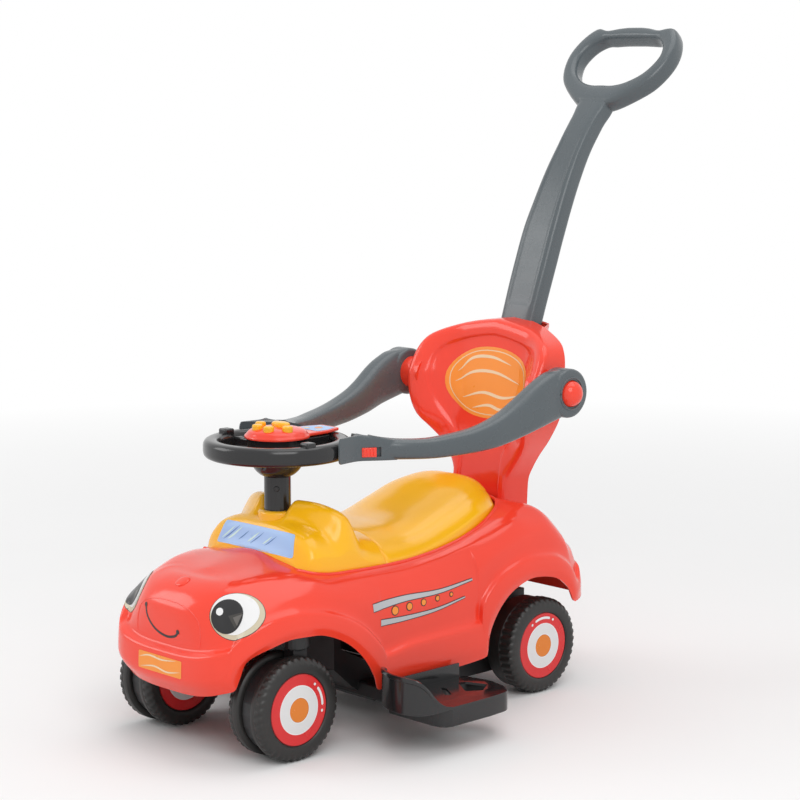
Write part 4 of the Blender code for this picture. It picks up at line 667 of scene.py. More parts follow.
def shell_stations():
    """Slices of the shell: place of its lip and of its flare's crest, or how far across."""
    stations = []
    for across in (0.0, 0.025, 0.050, 0.072, 0.090, 0.104):
        share = (across / 0.104) ** 3
        lip_z = NOSE_LIP_Z + 0.015 * share
        stations.append(((None, lip_z), (None, lip_z + 0.048 - 0.002 * share), across))
    stations += arch_stations((40, 54, 69, 84, 99, 114, 129, 142, 154, 163), (FRONT_ARCH_Y, FRONT_ARCH_Z),
                              FRONT_ARCH_RADIUS, ((40, 0.004), (90, 0.002), (135, 0.018), (163, 0.013)),
                              ((40, 0.039), (90, 0.026), (135, 0.020), (163, 0.038)))
    for y in (-0.030, 0.040):
        stations.append(((y, 0.066 + 0.03 * y), (y, 0.110 + 0.03 * y), None))
    stations += arch_stations((3, 20, 42, 64, 87, 109, 131, 150), (REAR_ARCH_Y, REAR_ARCH_Z),
                              REAR_ARCH_RADIUS, ((3, -0.010), (45, -0.018), (90, 0.0), (150, 0.010)),
                              ((3, 0.042), (45, 0.024), (90, 0.025), (150, 0.026)))
    for across in (0.112, 0.080, 0.042, 0.0):
        stations.append(((None, TAIL_LIP_Z), (None, TAIL_LIP_Z + TAIL_BAND), across))
    return stations


def shell_point(station, spot, half_width, nose, tail, nose_power, z, squeeze=1.0):
    """Corner of a long line at a slice, told by its place along the side or across an end."""
    lip, _, across = station
    if across is None:
        y = max(min(spot, 0.93 * tail), 0.93 * nose)
        return Vector((plan_x(y, half_width, nose, tail, nose_power, TAIL_SQUARENESS), y, z))
    at_nose = lip[1] < NOSE_LIP_TOP
    reach, power = (nose, nose_power) if at_nose else (tail, TAIL_SQUARENESS)
    x = across * half_width / (BODY_HALF_WIDTH + FLARE) * (squeeze if at_nose else 1.0)
    return Vector((x, plan_y(x, half_width, reach, power), z))


def shell_rows():
    """Long lines of the shell from nose to tail: lip, flare, crest, flank, shoulder, belt, hood."""
    full = BODY_HALF_WIDTH + FLARE
    rows = [[] for _ in range(9)]
    for st in shell_stations():
        (lip_y, lip_z), (crest_y, crest_z), across = st
        lip_y, crest_y = lip_y or 0.0, crest_y or 0.0
        rows[0].append(shell_point(st, lip_y, full - 0.003, NOSE_Y + 0.013, TAIL_Y + 0.005,
                                   NOSE_SQUARENESS, lip_z))
        rows[1].append(shell_point(st, 0.6 * lip_y + 0.4 * crest_y, full, NOSE_Y, TAIL_Y + 0.001,
                                   NOSE_SQUARENESS, 0.55 * lip_z + 0.45 * crest_z))
        rows[2].append(shell_point(st, crest_y, full - 0.0015, NOSE_Y + 0.0015, TAIL_Y - 0.002,
                                   NOSE_SQUARENESS, crest_z))
        flank = shell_point(st, crest_y, BODY_HALF_WIDTH, NOSE_Y + 0.0120, TAIL_Y - 0.005,
                            4.6, crest_z + 0.008)
        rows[3].append(flank)
        shoulder_y = flank.y * 0.955
        shoulder_z = smooth_value(SHOULDER_HEIGHT, shoulder_y)
        at_nose = across is not None and lip_z < NOSE_LIP_TOP
        middle_z = 0.172 if at_nose else 0.5 * (crest_z + 0.008 + shoulder_z)
        rows[4].append(shell_point(st, flank.y * 0.985, BODY_HALF_WIDTH - 0.001,
                                   NOSE_Y + 0.0095, TAIL_Y - 0.013, BROW_SQUARENESS, middle_z, 0.83))
        rows[5].append(shell_point(st, shoulder_y, BODY_HALF_WIDTH - SHOULDER_INSET, NOSE_Y + 0.0240,
                                   TAIL_Y - 0.028, BROW_SQUARENESS, shoulder_z, 0.78))
        belt_y = shoulder_y * 0.93
        belt = shell_point(st, belt_y, BODY_HALF_WIDTH - BELT_INSET, NOSE_Y + 0.0480, TAIL_Y - 0.053,
                           BROW_SQUARENESS, smooth_value(BELT_HEIGHT, belt_y), 0.76)
        rows[6].append(belt)
        spine_y = belt.y * 0.90
        middle = Vector((belt.x * 0.55, 0.55 * belt.y + 0.45 * spine_y, 0.0))
        middle.z = (0.45 * smooth_value(BELT_HEIGHT, belt.y)
                    + 0.55 * smooth_value(HOOD_HEIGHT, middle.y))
        rows[7].append(middle)
        rows[8].append(Vector((0.0, spine_y, smooth_value(HOOD_HEIGHT, spine_y))))
    return rows


def steady_path(points, parts, start_on_plane):
    """A smooth run through points that never swings past them; it ends on the middle plane."""
    keys = [Vector(p) for p in points]
    run = [0.0]
    for a, b in zip(keys, keys[1:]):
        run.append(run[-1] + max((b - a).length, 1e-6))
    places = finer(run, parts)
    if start_on_plane:
        keys.insert(0, flipped(keys[1]))
        run.insert(0, -run[1])
    keys.append(flipped(keys[-2]))
    run.append(2 * run[-1] - run[-2])
    tracks = [[(at, key[i]) for at, key in zip(run, keys)] for i in range(3)]
    return [Vector([smooth_value(track, at) for track in tracks]) for at in places]


def refined(rows, along, across):
    """A smooth grid through every point of a coarse one; both its ends lie on the middle plane."""
    long_lines = [steady_path(row, along, True) for row in rows]
    slices = [steady_path(points, across, False) for points in zip(*long_lines)]
    return [list(line) for line in zip(*slices)]


def grid_mesh(grid, gap):
    """A skin over a grid of places, corners nearer than the gap joined."""
    bm = bmesh.new()
    skin(bm, [[bm.verts.new(p) for p in row] for row in grid])
    bmesh.ops.remove_doubles(bm, verts=bm.verts, dist=gap)
    return finished(bm)


def mirror_and_thicken(item, wall):
    """Adds the other side of a half skin and gives it a wall."""
    mirror = item.modifiers.new("other side", "MIRROR")
    mirror.merge_threshold = 0.00005
    mirror.use_clip = True
    thick = item.modifiers.new("wall", "SOLIDIFY")
    thick.thickness = wall
    thick.offset = -1.0
    bake(item)


def dash_half(y):
    """Half-width of the seat well beside the dash."""
    side = WELL_HALF_WIDTH
    return smooth_value(((WELL_FRONT_Y, 0.86 * side), (-0.165, 0.935 * side), (-0.150, 0.985 * side),
                         (-0.12, side), (0.0, side)), y)


def well_half(y):
    """Half-width of the seat well beside the lid, closing in to the rear."""
    share = max(0.0, (y - 0.02) / (WELL_REAR_Y - 0.02))
    return WELL_HALF_WIDTH * (1.0 - min(share, 1.0) ** 3.6) ** (1.0 / 3.6)


def well_outline(grow=0.0, parts=3):
    """Plan of the hole that the yellow dash and seat stand in."""
    front = WELL_FRONT_Y
    side = [(dash_half(y) + grow, max(y, front) - (grow if y <= front else 0.0))
            for y in finer(DASH_YS, parts)]
    side += [(well_half(y) + grow, y) for y in finer(SEAT_YS, parts)]
    rear = [(0.0, WELL_REAR_Y + grow)]
    return side + rear + [(-x, y) for x, y in reversed(side)]


def surface_of(item):
    """A tree of the faces of a piece, for laying things on it."""
    bpy.context.view_layer.update()
    return BVHTree.FromObject(item, bpy.context.evaluated_depsgraph_get())


def height_on(tree, x, y):
    """Height of a surface over a place on the ground."""
    spot, _, _, _ = tree.ray_cast(Vector((x, y, 0.6)), DOWN)
    if spot is None:
        raise RuntimeError(f"nothing lies under {x:.3f}, {y:.3f}")
    return spot.z


def back_plane(z):
    """Middle of the backrest's front face, leaning back above its knee."""
    return BACK_MID_Y + BACK_LEAN * (max(z, BACK_KNEE_Z) - BACK_MID_Z)


def back_edge(z):
    """Where the side wall of the backrest's front shell ends at the rear."""
    return smooth_value(((0.20, 0.2640), (0.26, 0.2670), (0.28, 0.2700), (0.31, 0.2695), (0.34, 0.2665),
                         (0.385, 0.2625), (0.4165, 0.2600), (0.440, 0.2640), (0.4585, 0.2760),
                         (0.476, 0.2980)), z)


class PUSHCAR_OT_body(bpy.types.Operator):
    """Builds the red body shell with its flares, and the raised rim round the seat well"""
    bl_idname = "pushcar.body"
    bl_label = "Body shell"

    def execute(self, context):
        item = raw(grid_mesh(refined(shell_rows(), 5, 5), 0.00003))
        mirror_and_thicken(item, SHELL_WALL)
        whole = surface_of(item)
        rim = [(x, y, height_on(whole, x, y)) for x, y in well_outline(0.0024, 2)]
        slot = BACK_FOOT_HALF_WIDTH + SHADOW_GAP
        carve(item, (outline_mesh(well_outline(), 0.15, 0.32),
                     box_mesh((-slot, back_plane(BACK_KNEE_Z) - 2 * SHADOW_GAP, 0.17),
                              (slot, back_edge(BACK_KNEE_Z) + SHADOW_GAP, 0.32))), solver="MANIFOLD")
        settle(item, "body_shell_fine", "red", "root", ["body_shell"])
        bead = raw(tube_mesh(rim, 0.0021, 10, closed=True))
        settle(bead, "well_rim", "red", "root")
        self.nose_plug(whole)
        self.face_panel(whole)
        return {"FINISHED"}

    def nose_plug(self, whole):
        """Low round plug pressed into the hood above the face."""
        low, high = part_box("hood_plug")
        middle = (low + high) / 2 - PLACE
        spot, normal, _, _ = whole.ray_cast(Vector((0.0004, middle.y, 0.4)), DOWN)
        normal = normal if normal.z > 0.0 else -normal
        levels = ((0.0094, -0.0030), (0.0094, 0.0004), (0.0089, 0.0010), (0.0070, 0.0016),
                  (0.0040, 0.0020), (0.0002, 0.0021))
        mesh = loft_mesh([round_ring(r, 48, z) for r, z in levels])
        turn = normal.to_track_quat("Z", "Y").to_matrix().to_4x4()
        mesh.transform(Matrix.Translation((0.0, spot.y, spot.z)) @ turn)
        settle(raw(mesh), "hood_plug_fine", "red", "root", ["hood_plug"])

    def face_panel(self, whole):
        """Thin raised line round the panel that carries the smile."""
        half = smooth_path(((0.0591, 0.1390), (0.0590, 0.1560), (0.0545, 0.1700), (0.0420, 0.1800),
                            (0.0220, 0.1850), (0.0, 0.1860)), 26)
        line = [(p.x, p.y) for p in half] + [(-p.x, p.y) for p in reversed(half[:-1])]
        path = [whole.ray_cast(Vector((x, -0.5, z)), REARWARD)[0] for x, z in line]
        settle(raw(tube_mesh(path, 0.0006, 8)), "face_panel_line", "red", "root")


# Yellow dash and seat lid

def dash_height(x, y):
    """Top of the dash: sloping screen, flat shelf, collar and two side humps."""
    shelf = smooth_value(((-0.172, 0.2290), (-0.168, 0.2360), (-0.160, 0.2555), (-0.155, 0.2610),
                          (-0.145, 0.2640), (-0.10, 0.2580), (-0.06, 0.2460), (-0.041, 0.2410)), y)
    edge = smooth_value(((0.0, 0.0), (0.045, 0.002), (0.075, 0.010), (0.090, 0.022), (0.1, 0.036)), x)
    hump_t = clamped((x - 0.032) / 0.052)
    hump_x = 0.032 + 0.052 * hump_t
    hump_y = -0.122 + 0.024 * hump_t
    away = math.hypot(x - hump_x, (y - hump_y) * 0.85)
    hump = (0.026 + 0.004 * hump_t) * math.exp(-(away / 0.0150) ** 2.6)
    return max(shelf - edge + hump, 0.2)


def seat_height(x, y):
    """Top of the seat: low in front, rising to a lip in front of the backrest."""
    mid = smooth_value(((-0.041, 0.2410), (0.0, 0.2415), (0.04, 0.2480), (0.09, 0.2640),
                        (0.135, 0.2790), (0.160, 0.2815), (0.180, 0.2770), (0.196, 0.2620)), y)
    share = min(abs(x) / well_half(y), 1.0)
    fall = 0.034 * share ** 3.4
    dish = 0.004 * (1.0 - share ** 2) * smooth_value(((0.0, 0.0), (0.05, 1.0), (0.12, 1.0), (0.17, 0.0)), y)
    crease = 0.0011 * math.exp(-((share - 0.80) / 0.018) ** 2) * ease((y + 0.02) / 0.03)
    return mid - fall - dish - crease


def skirt_foot(y):
    """Foot of a cover's skirt; it rises to the rear, so that the lid swings up clear of the well."""
    rise = smooth_value(((0.06, 0.0), (0.12, 0.0317), (0.16, 0.0347), (0.196, 0.0370)), y)
    return SKIRT_FOOT_Z + GAP + rise


def cover_mesh(ys, half_at, height, shares):
    """Half of a top skin over the plan with a skirt down its side, its edge rounded."""
    grid = []
    for y in ys:
        half = half_at(y) - SHADOW_GAP
        inset = SHADOW_GAP * clamped((y - 0.1) / 0.08)
        column = [Vector((half * s, y - inset, height(half * s, y))) for s in shares]
        edge = column[-1]
        column[-1] = edge + Vector((-0.0002, 0.0, -0.0006))
        column.append(edge + Vector((0.0, 0.0, -0.0022)))
        column.append(Vector((half, y - inset, skirt_foot(y))))
        grid.append(column)
    bm = bmesh.new()
    columns = [[bm.verts.new(p) for p in column] for column in grid]
    skin(bm, columns)
    return bm, columns


def end_wall(bm, column):
    """Wall from a column of the top skin down to the skirt's foot."""
    foot = [bm.verts.new((v.co.x, v.co.y, SKIRT_FOOT_Z + GAP)) for v in column[:-2]]
    foot.append(column[-1])
    for i in range(len(foot) - 1):
        bm.faces.new((column[i], foot[i], foot[i + 1], column[i + 1]))


class PUSHCAR_OT_dash(bpy.types.Operator):
    """Builds the yellow dash with its humps, screen slope and column collar"""
    bl_idname = "pushcar.dash"
    bl_label = "Dash"

    def execute(self, context):
        front = WELL_FRONT_Y + SHADOW_GAP
        ys = sorted({max(y, front) for y in finer(DASH_YS, 4)})
        bm, columns = cover_mesh(ys, dash_half, dash_height, [i / 40 for i in range(41)])
        end_wall(bm, columns[0])
        end_wall(bm, columns[-1])
        item = raw(finished(bm))
        mirror_and_thicken(item, MOULD_WALL)
        collar = cylinder_mesh((0.0, STEER_Y, 0.2530), (0.0, STEER_Y, 0.2725), 0.0240, 64, 0.0035)
        bore = cylinder_mesh((0.0, STEER_Y, 0.20), (0.0, STEER_Y, 0.30), COLUMN_RADIUS + GAP, 64)
        carve(item, [collar], "UNION")
        carve(item, [bore])
        settle(item, "dash_fine", "yellow", "root", ["dash_cowl"])
        return {"FINISHED"}


class PUSHCAR_OT_seat(bpy.types.Operator):
    """Builds the yellow seat lid with its dish, the crease round it and the hinge barrel"""
    bl_idname = "pushcar.seat"
    bl_label = "Seat lid"

    def execute(self, context):
        start = SEAM_Y + SEAM_GAP / 2
        ys = finer((start, start + 0.002, start + 0.008) + SEAT_YS, 4)
        shares = [i / 36 for i in range(30)] + [0.83, 0.86, 0.89, 0.92, 0.945, 0.965, 0.98, 0.99, 1.0]

        def lid_height(x, y):
            """Top of the lid, rolled over where it meets the dash."""
            drop = max(0.0, 1.0 - (y - start) / 0.007)
            return seat_height(x, y) - 0.0068 * (1.0 - math.sqrt(max(0.0, 1.0 - drop * drop)))

        bm, columns = cover_mesh(ys, well_half, lid_height, sorted(shares))
        for y, column in zip(ys, columns):
            column[-1].co.z += 0.0010 * clamped((-0.028 - y) / 0.006)
        item = raw(finished(bm))
        mirror_and_thicken(item, MOULD_WALL)
        barrel = cylinder_mesh((-0.0110, HINGE_Y, HINGE_Z), (0.0110, HINGE_Y, HINGE_Z), 0.0036, 32, 0.0004)
        carve(item, [barrel], "UNION")
        settle(item, "seat_fine", "yellow", "seat", ["seat_lid"], (0.0, HINGE_Y, HINGE_Z))
        return {"FINISHED"}


# Wheels

def tyre_bump(turn, row, lugs, depth, rows):
    """Slanted lugs: each tread row is turned a little further than the one before."""
    if row not in rows:
        return 0.0
    slant = 0.45 * (row - min(rows)) / len(rows)
    wave = math.sin(math.tau * (turn * lugs + slant))
    return -depth * (1.0 - ease(0.5 + 2.4 * wave))


def tyre_mesh(looks, profile, rows, side, middle=0.0):
    """A tyre turned from its (radius, across) profile, with lugs on the given rows of it."""
    return turned_mesh([(r, side * (a - middle)) for r, a in profile], looks.lug_count * 6,
                       lambda turn, row: tyre_bump(turn, row, looks.lug_count, looks.lug_depth, rows))


def outer_face(far, floor):
    """Profile of a tyre's outer face, from its shoulder to the seat of the disc."""
    seat = DISC_RADIUS + GAP
    return [(0.0600, far - 0.0018), (0.0575, far - 0.0006), (0.0545, far), (0.0500, far - 0.0002),
            (DISC_RADIUS + 0.0030, far), (DISC_RADIUS + 0.0012, far - 0.0006), (seat, far - 0.0016),
            (seat, floor)]


def caster_tyre(looks, facing):
    """One of the two narrow tyres of a caster, open at the side that it faces."""
    near = CASTER_WEB / 2 + CASTER_SIDE_PLAY
    far = near + TREAD_WIDTH
    floor = far - DISC_RECESS
    bore = AXLE_RADIUS + GAP
    top = WHEEL_RADIUS
    profile = [(bore, near), (0.0560, near), (0.0585, near + 0.0006), (0.0606, near + 0.0016),
               (top - 0.0004, near + 0.0030), (top, near + 0.0050), (top, near + 0.0085),
               (top - 0.0004, near + 0.0095), (top, near + 0.0105), (top, far - 0.0060),
               (top - 0.0006, far - 0.0040)] + outer_face(far, floor) + [(bore, floor)]
    return tyre_mesh(looks, profile, (9, 10, 11, 12), facing)


def rear_tyre(looks, side):
    """A rear tyre: tread outside, plain drum inside, a groove between them."""
    far = REAR_WHEEL_OUTER
    near = far - TREAD_WIDTH - REAR_DRUM_WIDTH + 0.0020
    groove = far - TREAD_WIDTH - 0.0020
    bore = AXLE_RADIUS + GAP
    floor = far - DISC_RECESS
    top = WHEEL_RADIUS
    drum = REAR_DRUM_RADIUS
    profile = [(bore, near), (0.0540, near), (0.0568, near + 0.0010), (drum - 0.0010, near + 0.0028),
               (drum, near + 0.0050), (drum, groove - 0.0022), (drum - 0.0012, groove - 0.0012),
               (drum - 0.0012, groove - 0.0002), (top - 0.0006, groove + 0.0010), (top, groove + 0.0022),
               (top, far - 0.0065), (top - 0.0006, far - 0.0042)] + outer_face(far, floor)
    profile += [(0.0090, floor), (0.0090, floor - 0.0050), (bore, floor - 0.0050)]
    return tyre_mesh(looks, profile, (9, 10, 11, 12, 13), side, far - TREAD_WIDTH / 2)


# Turns at which a disc's gleam starts and ends, and those of its two dots
FRONT_GLEAM = ((0.02, 0.62), (0.82, -0.20))
FRONT_GLEAM_TURNED = ((3.50, 4.10), (4.30, 3.28))
REAR_GLEAM = ((1.25, 1.95), (2.16, 1.04))


def wheel_disc(facing):
    """Domed disc with a rolled edge, its flat back at x = 0."""
    profile = [(0.0, 0.0024), (0.0120, 0.0023), (0.0145, 0.0023), (0.0290, 0.0018), (0.0400, 0.0013),
               (0.0418, 0.0016), (0.0428, 0.0013), (DISC_RADIUS, 0.0004), (DISC_RADIUS, 0.0), (0.0, 0.0)]
    bm = bmesh.new()
    verts = [bm.verts.new((facing * x, r, 0.0)) for r, x in profile]
    edges = [bm.edges.new(pair) for pair in zip(verts, verts[1:])]
    bmesh.ops.spin(bm, geom=verts + edges, axis=ACROSS, cent=(0.0, 0.0, 0.0), steps=96,
                   angle=math.tau)
    bmesh.ops.remove_doubles(bm, verts=bm.verts, dist=0.00002)
    return finished(bm)


def arc_film(inner, outer, start, end, x):
    """A curved white highlight printed on a disc, round at both ends."""
    middle, half = (inner + outer) / 2, (outer - inner) / 2
    rings = []
    steps = 22
    reach = half / middle
    for i in range(steps + 1):
        turn = start - reach + (end - start + 2 * reach) * i / steps
        past = max(start - turn, turn - end, 0.0) / reach
        width = half * math.sqrt(max(1.0 - past * past, 0.001))
        rings.append([(x, (middle + s * width) * math.cos(turn), (middle + s * width) * math.sin(turn))
                      for s in (-1.0, 1.0)])
    return loft_mesh(rings, closed_rings=False, caps=False)


class PUSHCAR_OT_wheels(bpy.types.Operator):
    """Builds the tyres with their slanted lugs and the discs with their printed rings"""
    bl_idname = "pushcar.wheels"
    bl_label = "Wheels"

    def execute(self, context):
        looks = context.scene.push_car_looks
        caster_floor = CASTER_WEB / 2 + CASTER_SIDE_PLAY + TREAD_WIDTH - DISC_RECESS
        for side, label in SIDES:
            for facing, place in ((side, "outer"), (-side, "inner")):
                name = f"{place}_{label}"
                centre = Vector((side * CASTER_X, -WHEELBASE / 2, WHEEL_RADIUS))
                body = "front_wheel_" + name
                self.hang(caster_tyre(looks, facing), "tyre_front_" + name, "tyre", body, [body],
                          centre)
                centre.x += facing * (caster_floor + GAP)
                self.disc("front_" + name, facing, centre, body, "front_cap_" + name,
                          FRONT_GLEAM if facing > 0 else FRONT_GLEAM_TURNED)
            centre = Vector((side * (REAR_WHEEL_OUTER - TREAD_WIDTH / 2), WHEELBASE / 2, WHEEL_RADIUS))
            body = "rear_wheel_" + label
            self.hang(rear_tyre(looks, side), "tyre_rear_" + label, "tyre", body, [body], centre)
            centre.x = side * (REAR_WHEEL_OUTER - DISC_RECESS + GAP)
            self.disc("rear_" + label, side, centre, body, "rear_cap_" + label, REAR_GLEAM)
        return {"FINISHED"}

    def hang(self, mesh, name, finish, body, nodes, centre):
        """Settles a piece of a wheel, its mesh measured from its own centre."""
        settle(raw(mesh), name, finish, body, nodes, centre, centred=True)

    def disc(self, name, facing, centre, body, node, gleam):
        """The printed disc with its white gleam and two dots."""
        (start, end), dots = gleam
        self.hang(wheel_disc(facing), "disc_" + name, "disc", body, [node], centre)
        x = facing * 0.00185
        arcs = [("gleam_" + name, start, end)]
        arcs += [(f"gleam_dot_{name}_{i}", dot, dot + 0.01) for i, dot in enumerate(dots)]
        for piece, start, end in arcs:
            self.hang(arc_film(0.0350, 0.0382, start, end, x), piece, "print_white", body, (), centre)


# Steering wheel and the music pod on it

def ring_section(angle):
    """Soft rectangular section of the steering wheel's rim."""
    half, mid = RING_TUBE_WIDTH / 2, RING_RADIUS - RING_TUBE_WIDTH / 2
    height, middle = (RING_HIGH - RING_LOW) / 2, (RING_HIGH + RING_LOW) / 2
    made = []
    for k in range(24):
        a, b = superellipse(math.tau * (k + 0.5) / 24, 0.66)
        r = mid + a * half
        made.append((r * math.cos(angle), STEER_Y + r * math.sin(angle), middle + b * height))
    return made


def button_places():
    """Centres and half sizes of the five push buttons, from the pod's centre."""
    small = BUTTON_RADIUS
    return {"button_left": (0.0250, -0.0050, small, small),
            "button_right": (-0.0250, -0.0050, small, small),
            "button_front_left": (0.0105, -0.0225, small, small),
            "button_front_right": (-0.0105, -0.0225, small, small),
            "button_rear": (0.0, 0.0060, 0.0140, 0.0085)}


def oval(x, y, a, b):
    """Oval on the steering wheel, told from the middle of the pod."""
    turns = [math.tau * i / 40 for i in range(40)]
    return [(x + a * math.cos(turn), STEER_Y + y + b * math.sin(turn)) for turn in turns]


def rounded(points, radius, steps=6):
    """Rounds each corner of a flat outline with an arc of the given radius."""
    made = []
    total = len(points)
    for i in range(total):
        before, here, after = (Vector(points[(i + d) % total]) for d in (-1, 0, 1))
        a = (before - here).normalized()
        b = (after - here).normalized()
        half = a.angle(b) / 2
        reach = min(radius / math.tan(half), 0.45 * min((before - here).length, (after - here).length))
        start, end = here + a * reach, here + b * reach
        for k in range(steps + 1):
            t = k / steps
            made.append((1 - t) ** 2 * start + 2 * t * (1 - t) * here + t * t * end)
    return made


class PUSHCAR_OT_steering(bpy.types.Operator):
    """Builds the steering wheel, the red music pod on it and its yellow buttons"""
    bl_idname = "pushcar.steering"
    bl_label = "Steering wheel"

    def execute(self, context):
        self.wheel()
        self.pod()
        self.buttons()
        return {"FINISHED"}

    def wheel(self):
        """Rim, bowl, two spokes with their studs and the bridge under the tray."""
        rim = [ring_section(math.tau * i / 96) for i in range(96)]
        item = raw(loft_mesh(rim, caps=False, loop=True))
        bowl = smooth_path([(0.0375, POD_FOOT - GAP), (0.0368, 0.3470), (BOWL_RADIUS, 0.3380), (0.0290, 0.3240),
                            (0.0220, 0.3165), (COLUMN_RADIUS + 0.0004, BOWL_FOOT)], 22)
        inner = RING_RADIUS - RING_TUBE_WIDTH / 2
        joins = [loft_mesh([round_ring(radius, 64, z, STEER_Y) for radius, z in bowl])]
        for side in (-1, 1):
            near, far = sorted((side * 0.02, side * inner))
            joins.append(box_mesh((near, STEER_Y - 0.0130, 0.3430),
                                  (far, STEER_Y + 0.0130, 0.3560), 0.0025, 3))
            stud = side * 0.0760
            joins.append(box_mesh((stud - 0.0075, STEER_Y - 0.0240, 0.3500),
                                  (stud + 0.0075, STEER_Y - 0.0100, 0.3655), 0.0020, 3))
        joins.append(box_mesh((-0.0190, STEER_Y + 0.020, 0.3430),
                              (0.0190, STEER_Y + inner, 0.3600), 0.0025, 3))
        carve(item, joins, "UNION")
        spigot = cylinder_mesh((0.0, STEER_Y, 0.30), (0.0, STEER_Y, SPIGOT_TOP + GAP),
                               SPIGOT_RADIUS + GAP, 40)
        screw_slot = box_mesh((0.0060, STEER_Y - 0.0420, 0.3120),
                              (0.0125, STEER_Y - 0.0280, 0.3300), 0.0006)
        carve(item, [spigot, screw_slot])
        settle(item, "steering_wheel_fine", "gloss_black", "steering", ["steering_wheel"],
               (0.0, STEER_Y, 0.0))

    def pod(self):
        """Domed pod with its tray towards the child and a well for each button."""
        dome = smooth_path([(POD_RADIUS, POD_FOOT), (POD_RADIUS, POD_FOOT + 0.0020), (0.0382, POD_TOP - 0.0085),
                            (0.0330, POD_TOP - 0.0036), (0.0200, POD_TOP - 0.0008), (0.0002, POD_TOP)], 24)
        item = raw(loft_mesh([round_ring(radius, 80, z, STEER_Y) for radius, z in dome]))
        corners = ((-0.0250, 0.020), (0.0250, 0.020), (0.0245, 0.062), (0.0165, TRAY_REACH),
                   (-0.0165, TRAY_REACH), (-0.0245, 0.062))
        tray = rounded([(x, STEER_Y + y) for x, y in corners], 0.007)
        carve(item, [outline_mesh(tray, POD_FOOT, POD_FOOT + TRAY_THICKNESS, 0.0010)], "UNION")
        carve(item, [outline_mesh(oval(x, y, a + GAP, b + GAP), POD_FOOT + TRAY_THICKNESS, POD_TOP + 0.01)
                     for x, y, a, b in button_places().values()])
        settle(item, "music_pod_fine", "red", "steering", ["music_pod"], (0.0, STEER_Y, 0.0))

    def buttons(self):
        """Five domed buttons; the long one stands a little higher."""
        for name, (x, y, a, b) in button_places().items():
            top = POD_TOP + (0.0052 if a > b else 0.0040)
            foot = POD_FOOT + TRAY_THICKNESS + BUTTON_TRAVEL + GAP
            levels = [(foot, 1.0), (top - 0.0022, 1.0), (top - 0.0014, 0.97), (top - 0.0007, 0.90),
                      (top - 0.0002, 0.78), (top, 0.60)]
            rings = [[(px, py, z) for px, py in oval(x, y, a * s, b * s)] for z, s in levels]
            settle(raw(loft_mesh(rings)), name + "_fine", "yellow", name, [name],
                   (x, STEER_Y + y, foot))


# Guard arms

ARM_X = ((-0.066, 0.074), (-0.04, 0.092), (-0.02, 0.105), (0.0, 0.1135), (0.02, 0.120), (0.04, 0.126),
         (0.06, 0.131), (0.08, 0.135), (0.10, 0.138), (0.14, 0.1415), (0.18, 0.1460), (0.22, 0.1465))
ARM_TOP = ((-0.066, 0.3690), (-0.04, 0.3615), (-0.02, 0.3590), (0.01, 0.3578), (0.04, 0.3605), (0.06, 0.363),
           (0.08, 0.367), (0.10, 0.373), (0.12, 0.381), (0.14, 0.3925), (0.16, 0.406), (0.18, 0.4175),
           (0.20, 0.4250), (0.22, 0.4265))
ARM_BOTTOM = ((-0.066, 0.3365), (-0.02, 0.3345), (0.02, 0.3330), (0.06, 0.3345), (0.10, 0.3375), (0.14, 0.3450),
              (0.18, 0.3560), (0.22, 0.3660))
ARM_YS = (0.220, 0.195, 0.175, 0.155, 0.135, 0.115, 0.090, 0.060, 0.030, 0.006, -0.014, -0.034, -0.054)


def arm_section(side, y):
    """Rounded section of the arm, square to its run in plan."""
    step = 0.002
    x = smooth_value(ARM_X, y)
    run = Vector((smooth_value(ARM_X, y + step) - smooth_value(ARM_X, y - step), 2 * step)).normalized()
    across = Vector((run.y, -run.x))
    top, bottom = smooth_value(ARM_TOP, y), smooth_value(ARM_BOTTOM, y)
    half = ARM_THICKNESS / 2 - 0.0012 * clamped((0.2 - y) / 0.1)
    made = []
    for k in range(32):
        a, b = superellipse(math.tau * (k + 0.5) / 32, 0.62)
        made.append((side * (x + across.x * a * half), y + across.y * a * half,
                     (top + bottom) / 2 + b * ((top - bottom) / 2)))
    return made


def saddle_rings(side):
    """Collar that cups the rim of the steering wheel and flows out of the arm."""
    def at(angle, reach):
        """Place round the steering axis, from straight across the car."""
        a = math.radians(angle)
        return Vector((reach * math.cos(a), STEER_Y + reach * math.sin(a)))

    inner_edge = [at(71, RING_RADIUS + 0.0070), at(62, RING_RADIUS + 0.0150), Vector((0.0720, -0.0350)),
                  Vector((0.0900, -0.0190))]
    outer_edge = [Vector((0.1100, -0.0300)), Vector((0.1062, -0.0450)), Vector((0.1000, -0.0620)),
                  at(28, RING_RADIUS + 0.0120), at(11, RING_RADIUS + 0.0050)]
    outline = [at(angle, RING_RADIUS - 0.004) for angle in range(10, 71, 4)]
    outline += smooth_path(inner_edge, 12) + smooth_path(outer_edge, 16)
    middle = sum(outline, Vector((0.0, 0.0))) / len(outline)
    rings = []
    for share, size in ((0.0, 0.95), (0.04, 0.98), (0.11, 1.0), (0.76, 1.0), (0.86, 0.985), (0.93, 0.965),
                        (0.96, 0.94)):
        ring = []
        for p in outline:
            low, high = smooth_value(ARM_BOTTOM, p.y), smooth_value(ARM_TOP, p.y)
            spot = middle + (p - middle) * size
            ring.append((side * spot.x, spot.y, low + (high - low) * share))
        rings.append(ring)
    return rings


def latch_frame():
    """Local X runs along the arm, local -Y points outward from its face."""
    y = LATCH_PLACE[1]
    step = 0.004
    sway = smooth_value(ARM_X, y + step) - smooth_value(ARM_X, y - step)
    run = Vector((sway, 2 * step, 0.0)).normalized()
    across = Vector((run.y, -run.x, 0.0))
    turn = Matrix((run, -across, UP)).transposed()
    return Matrix.Translation(LATCH_PLACE) @ turn.to_4x4()


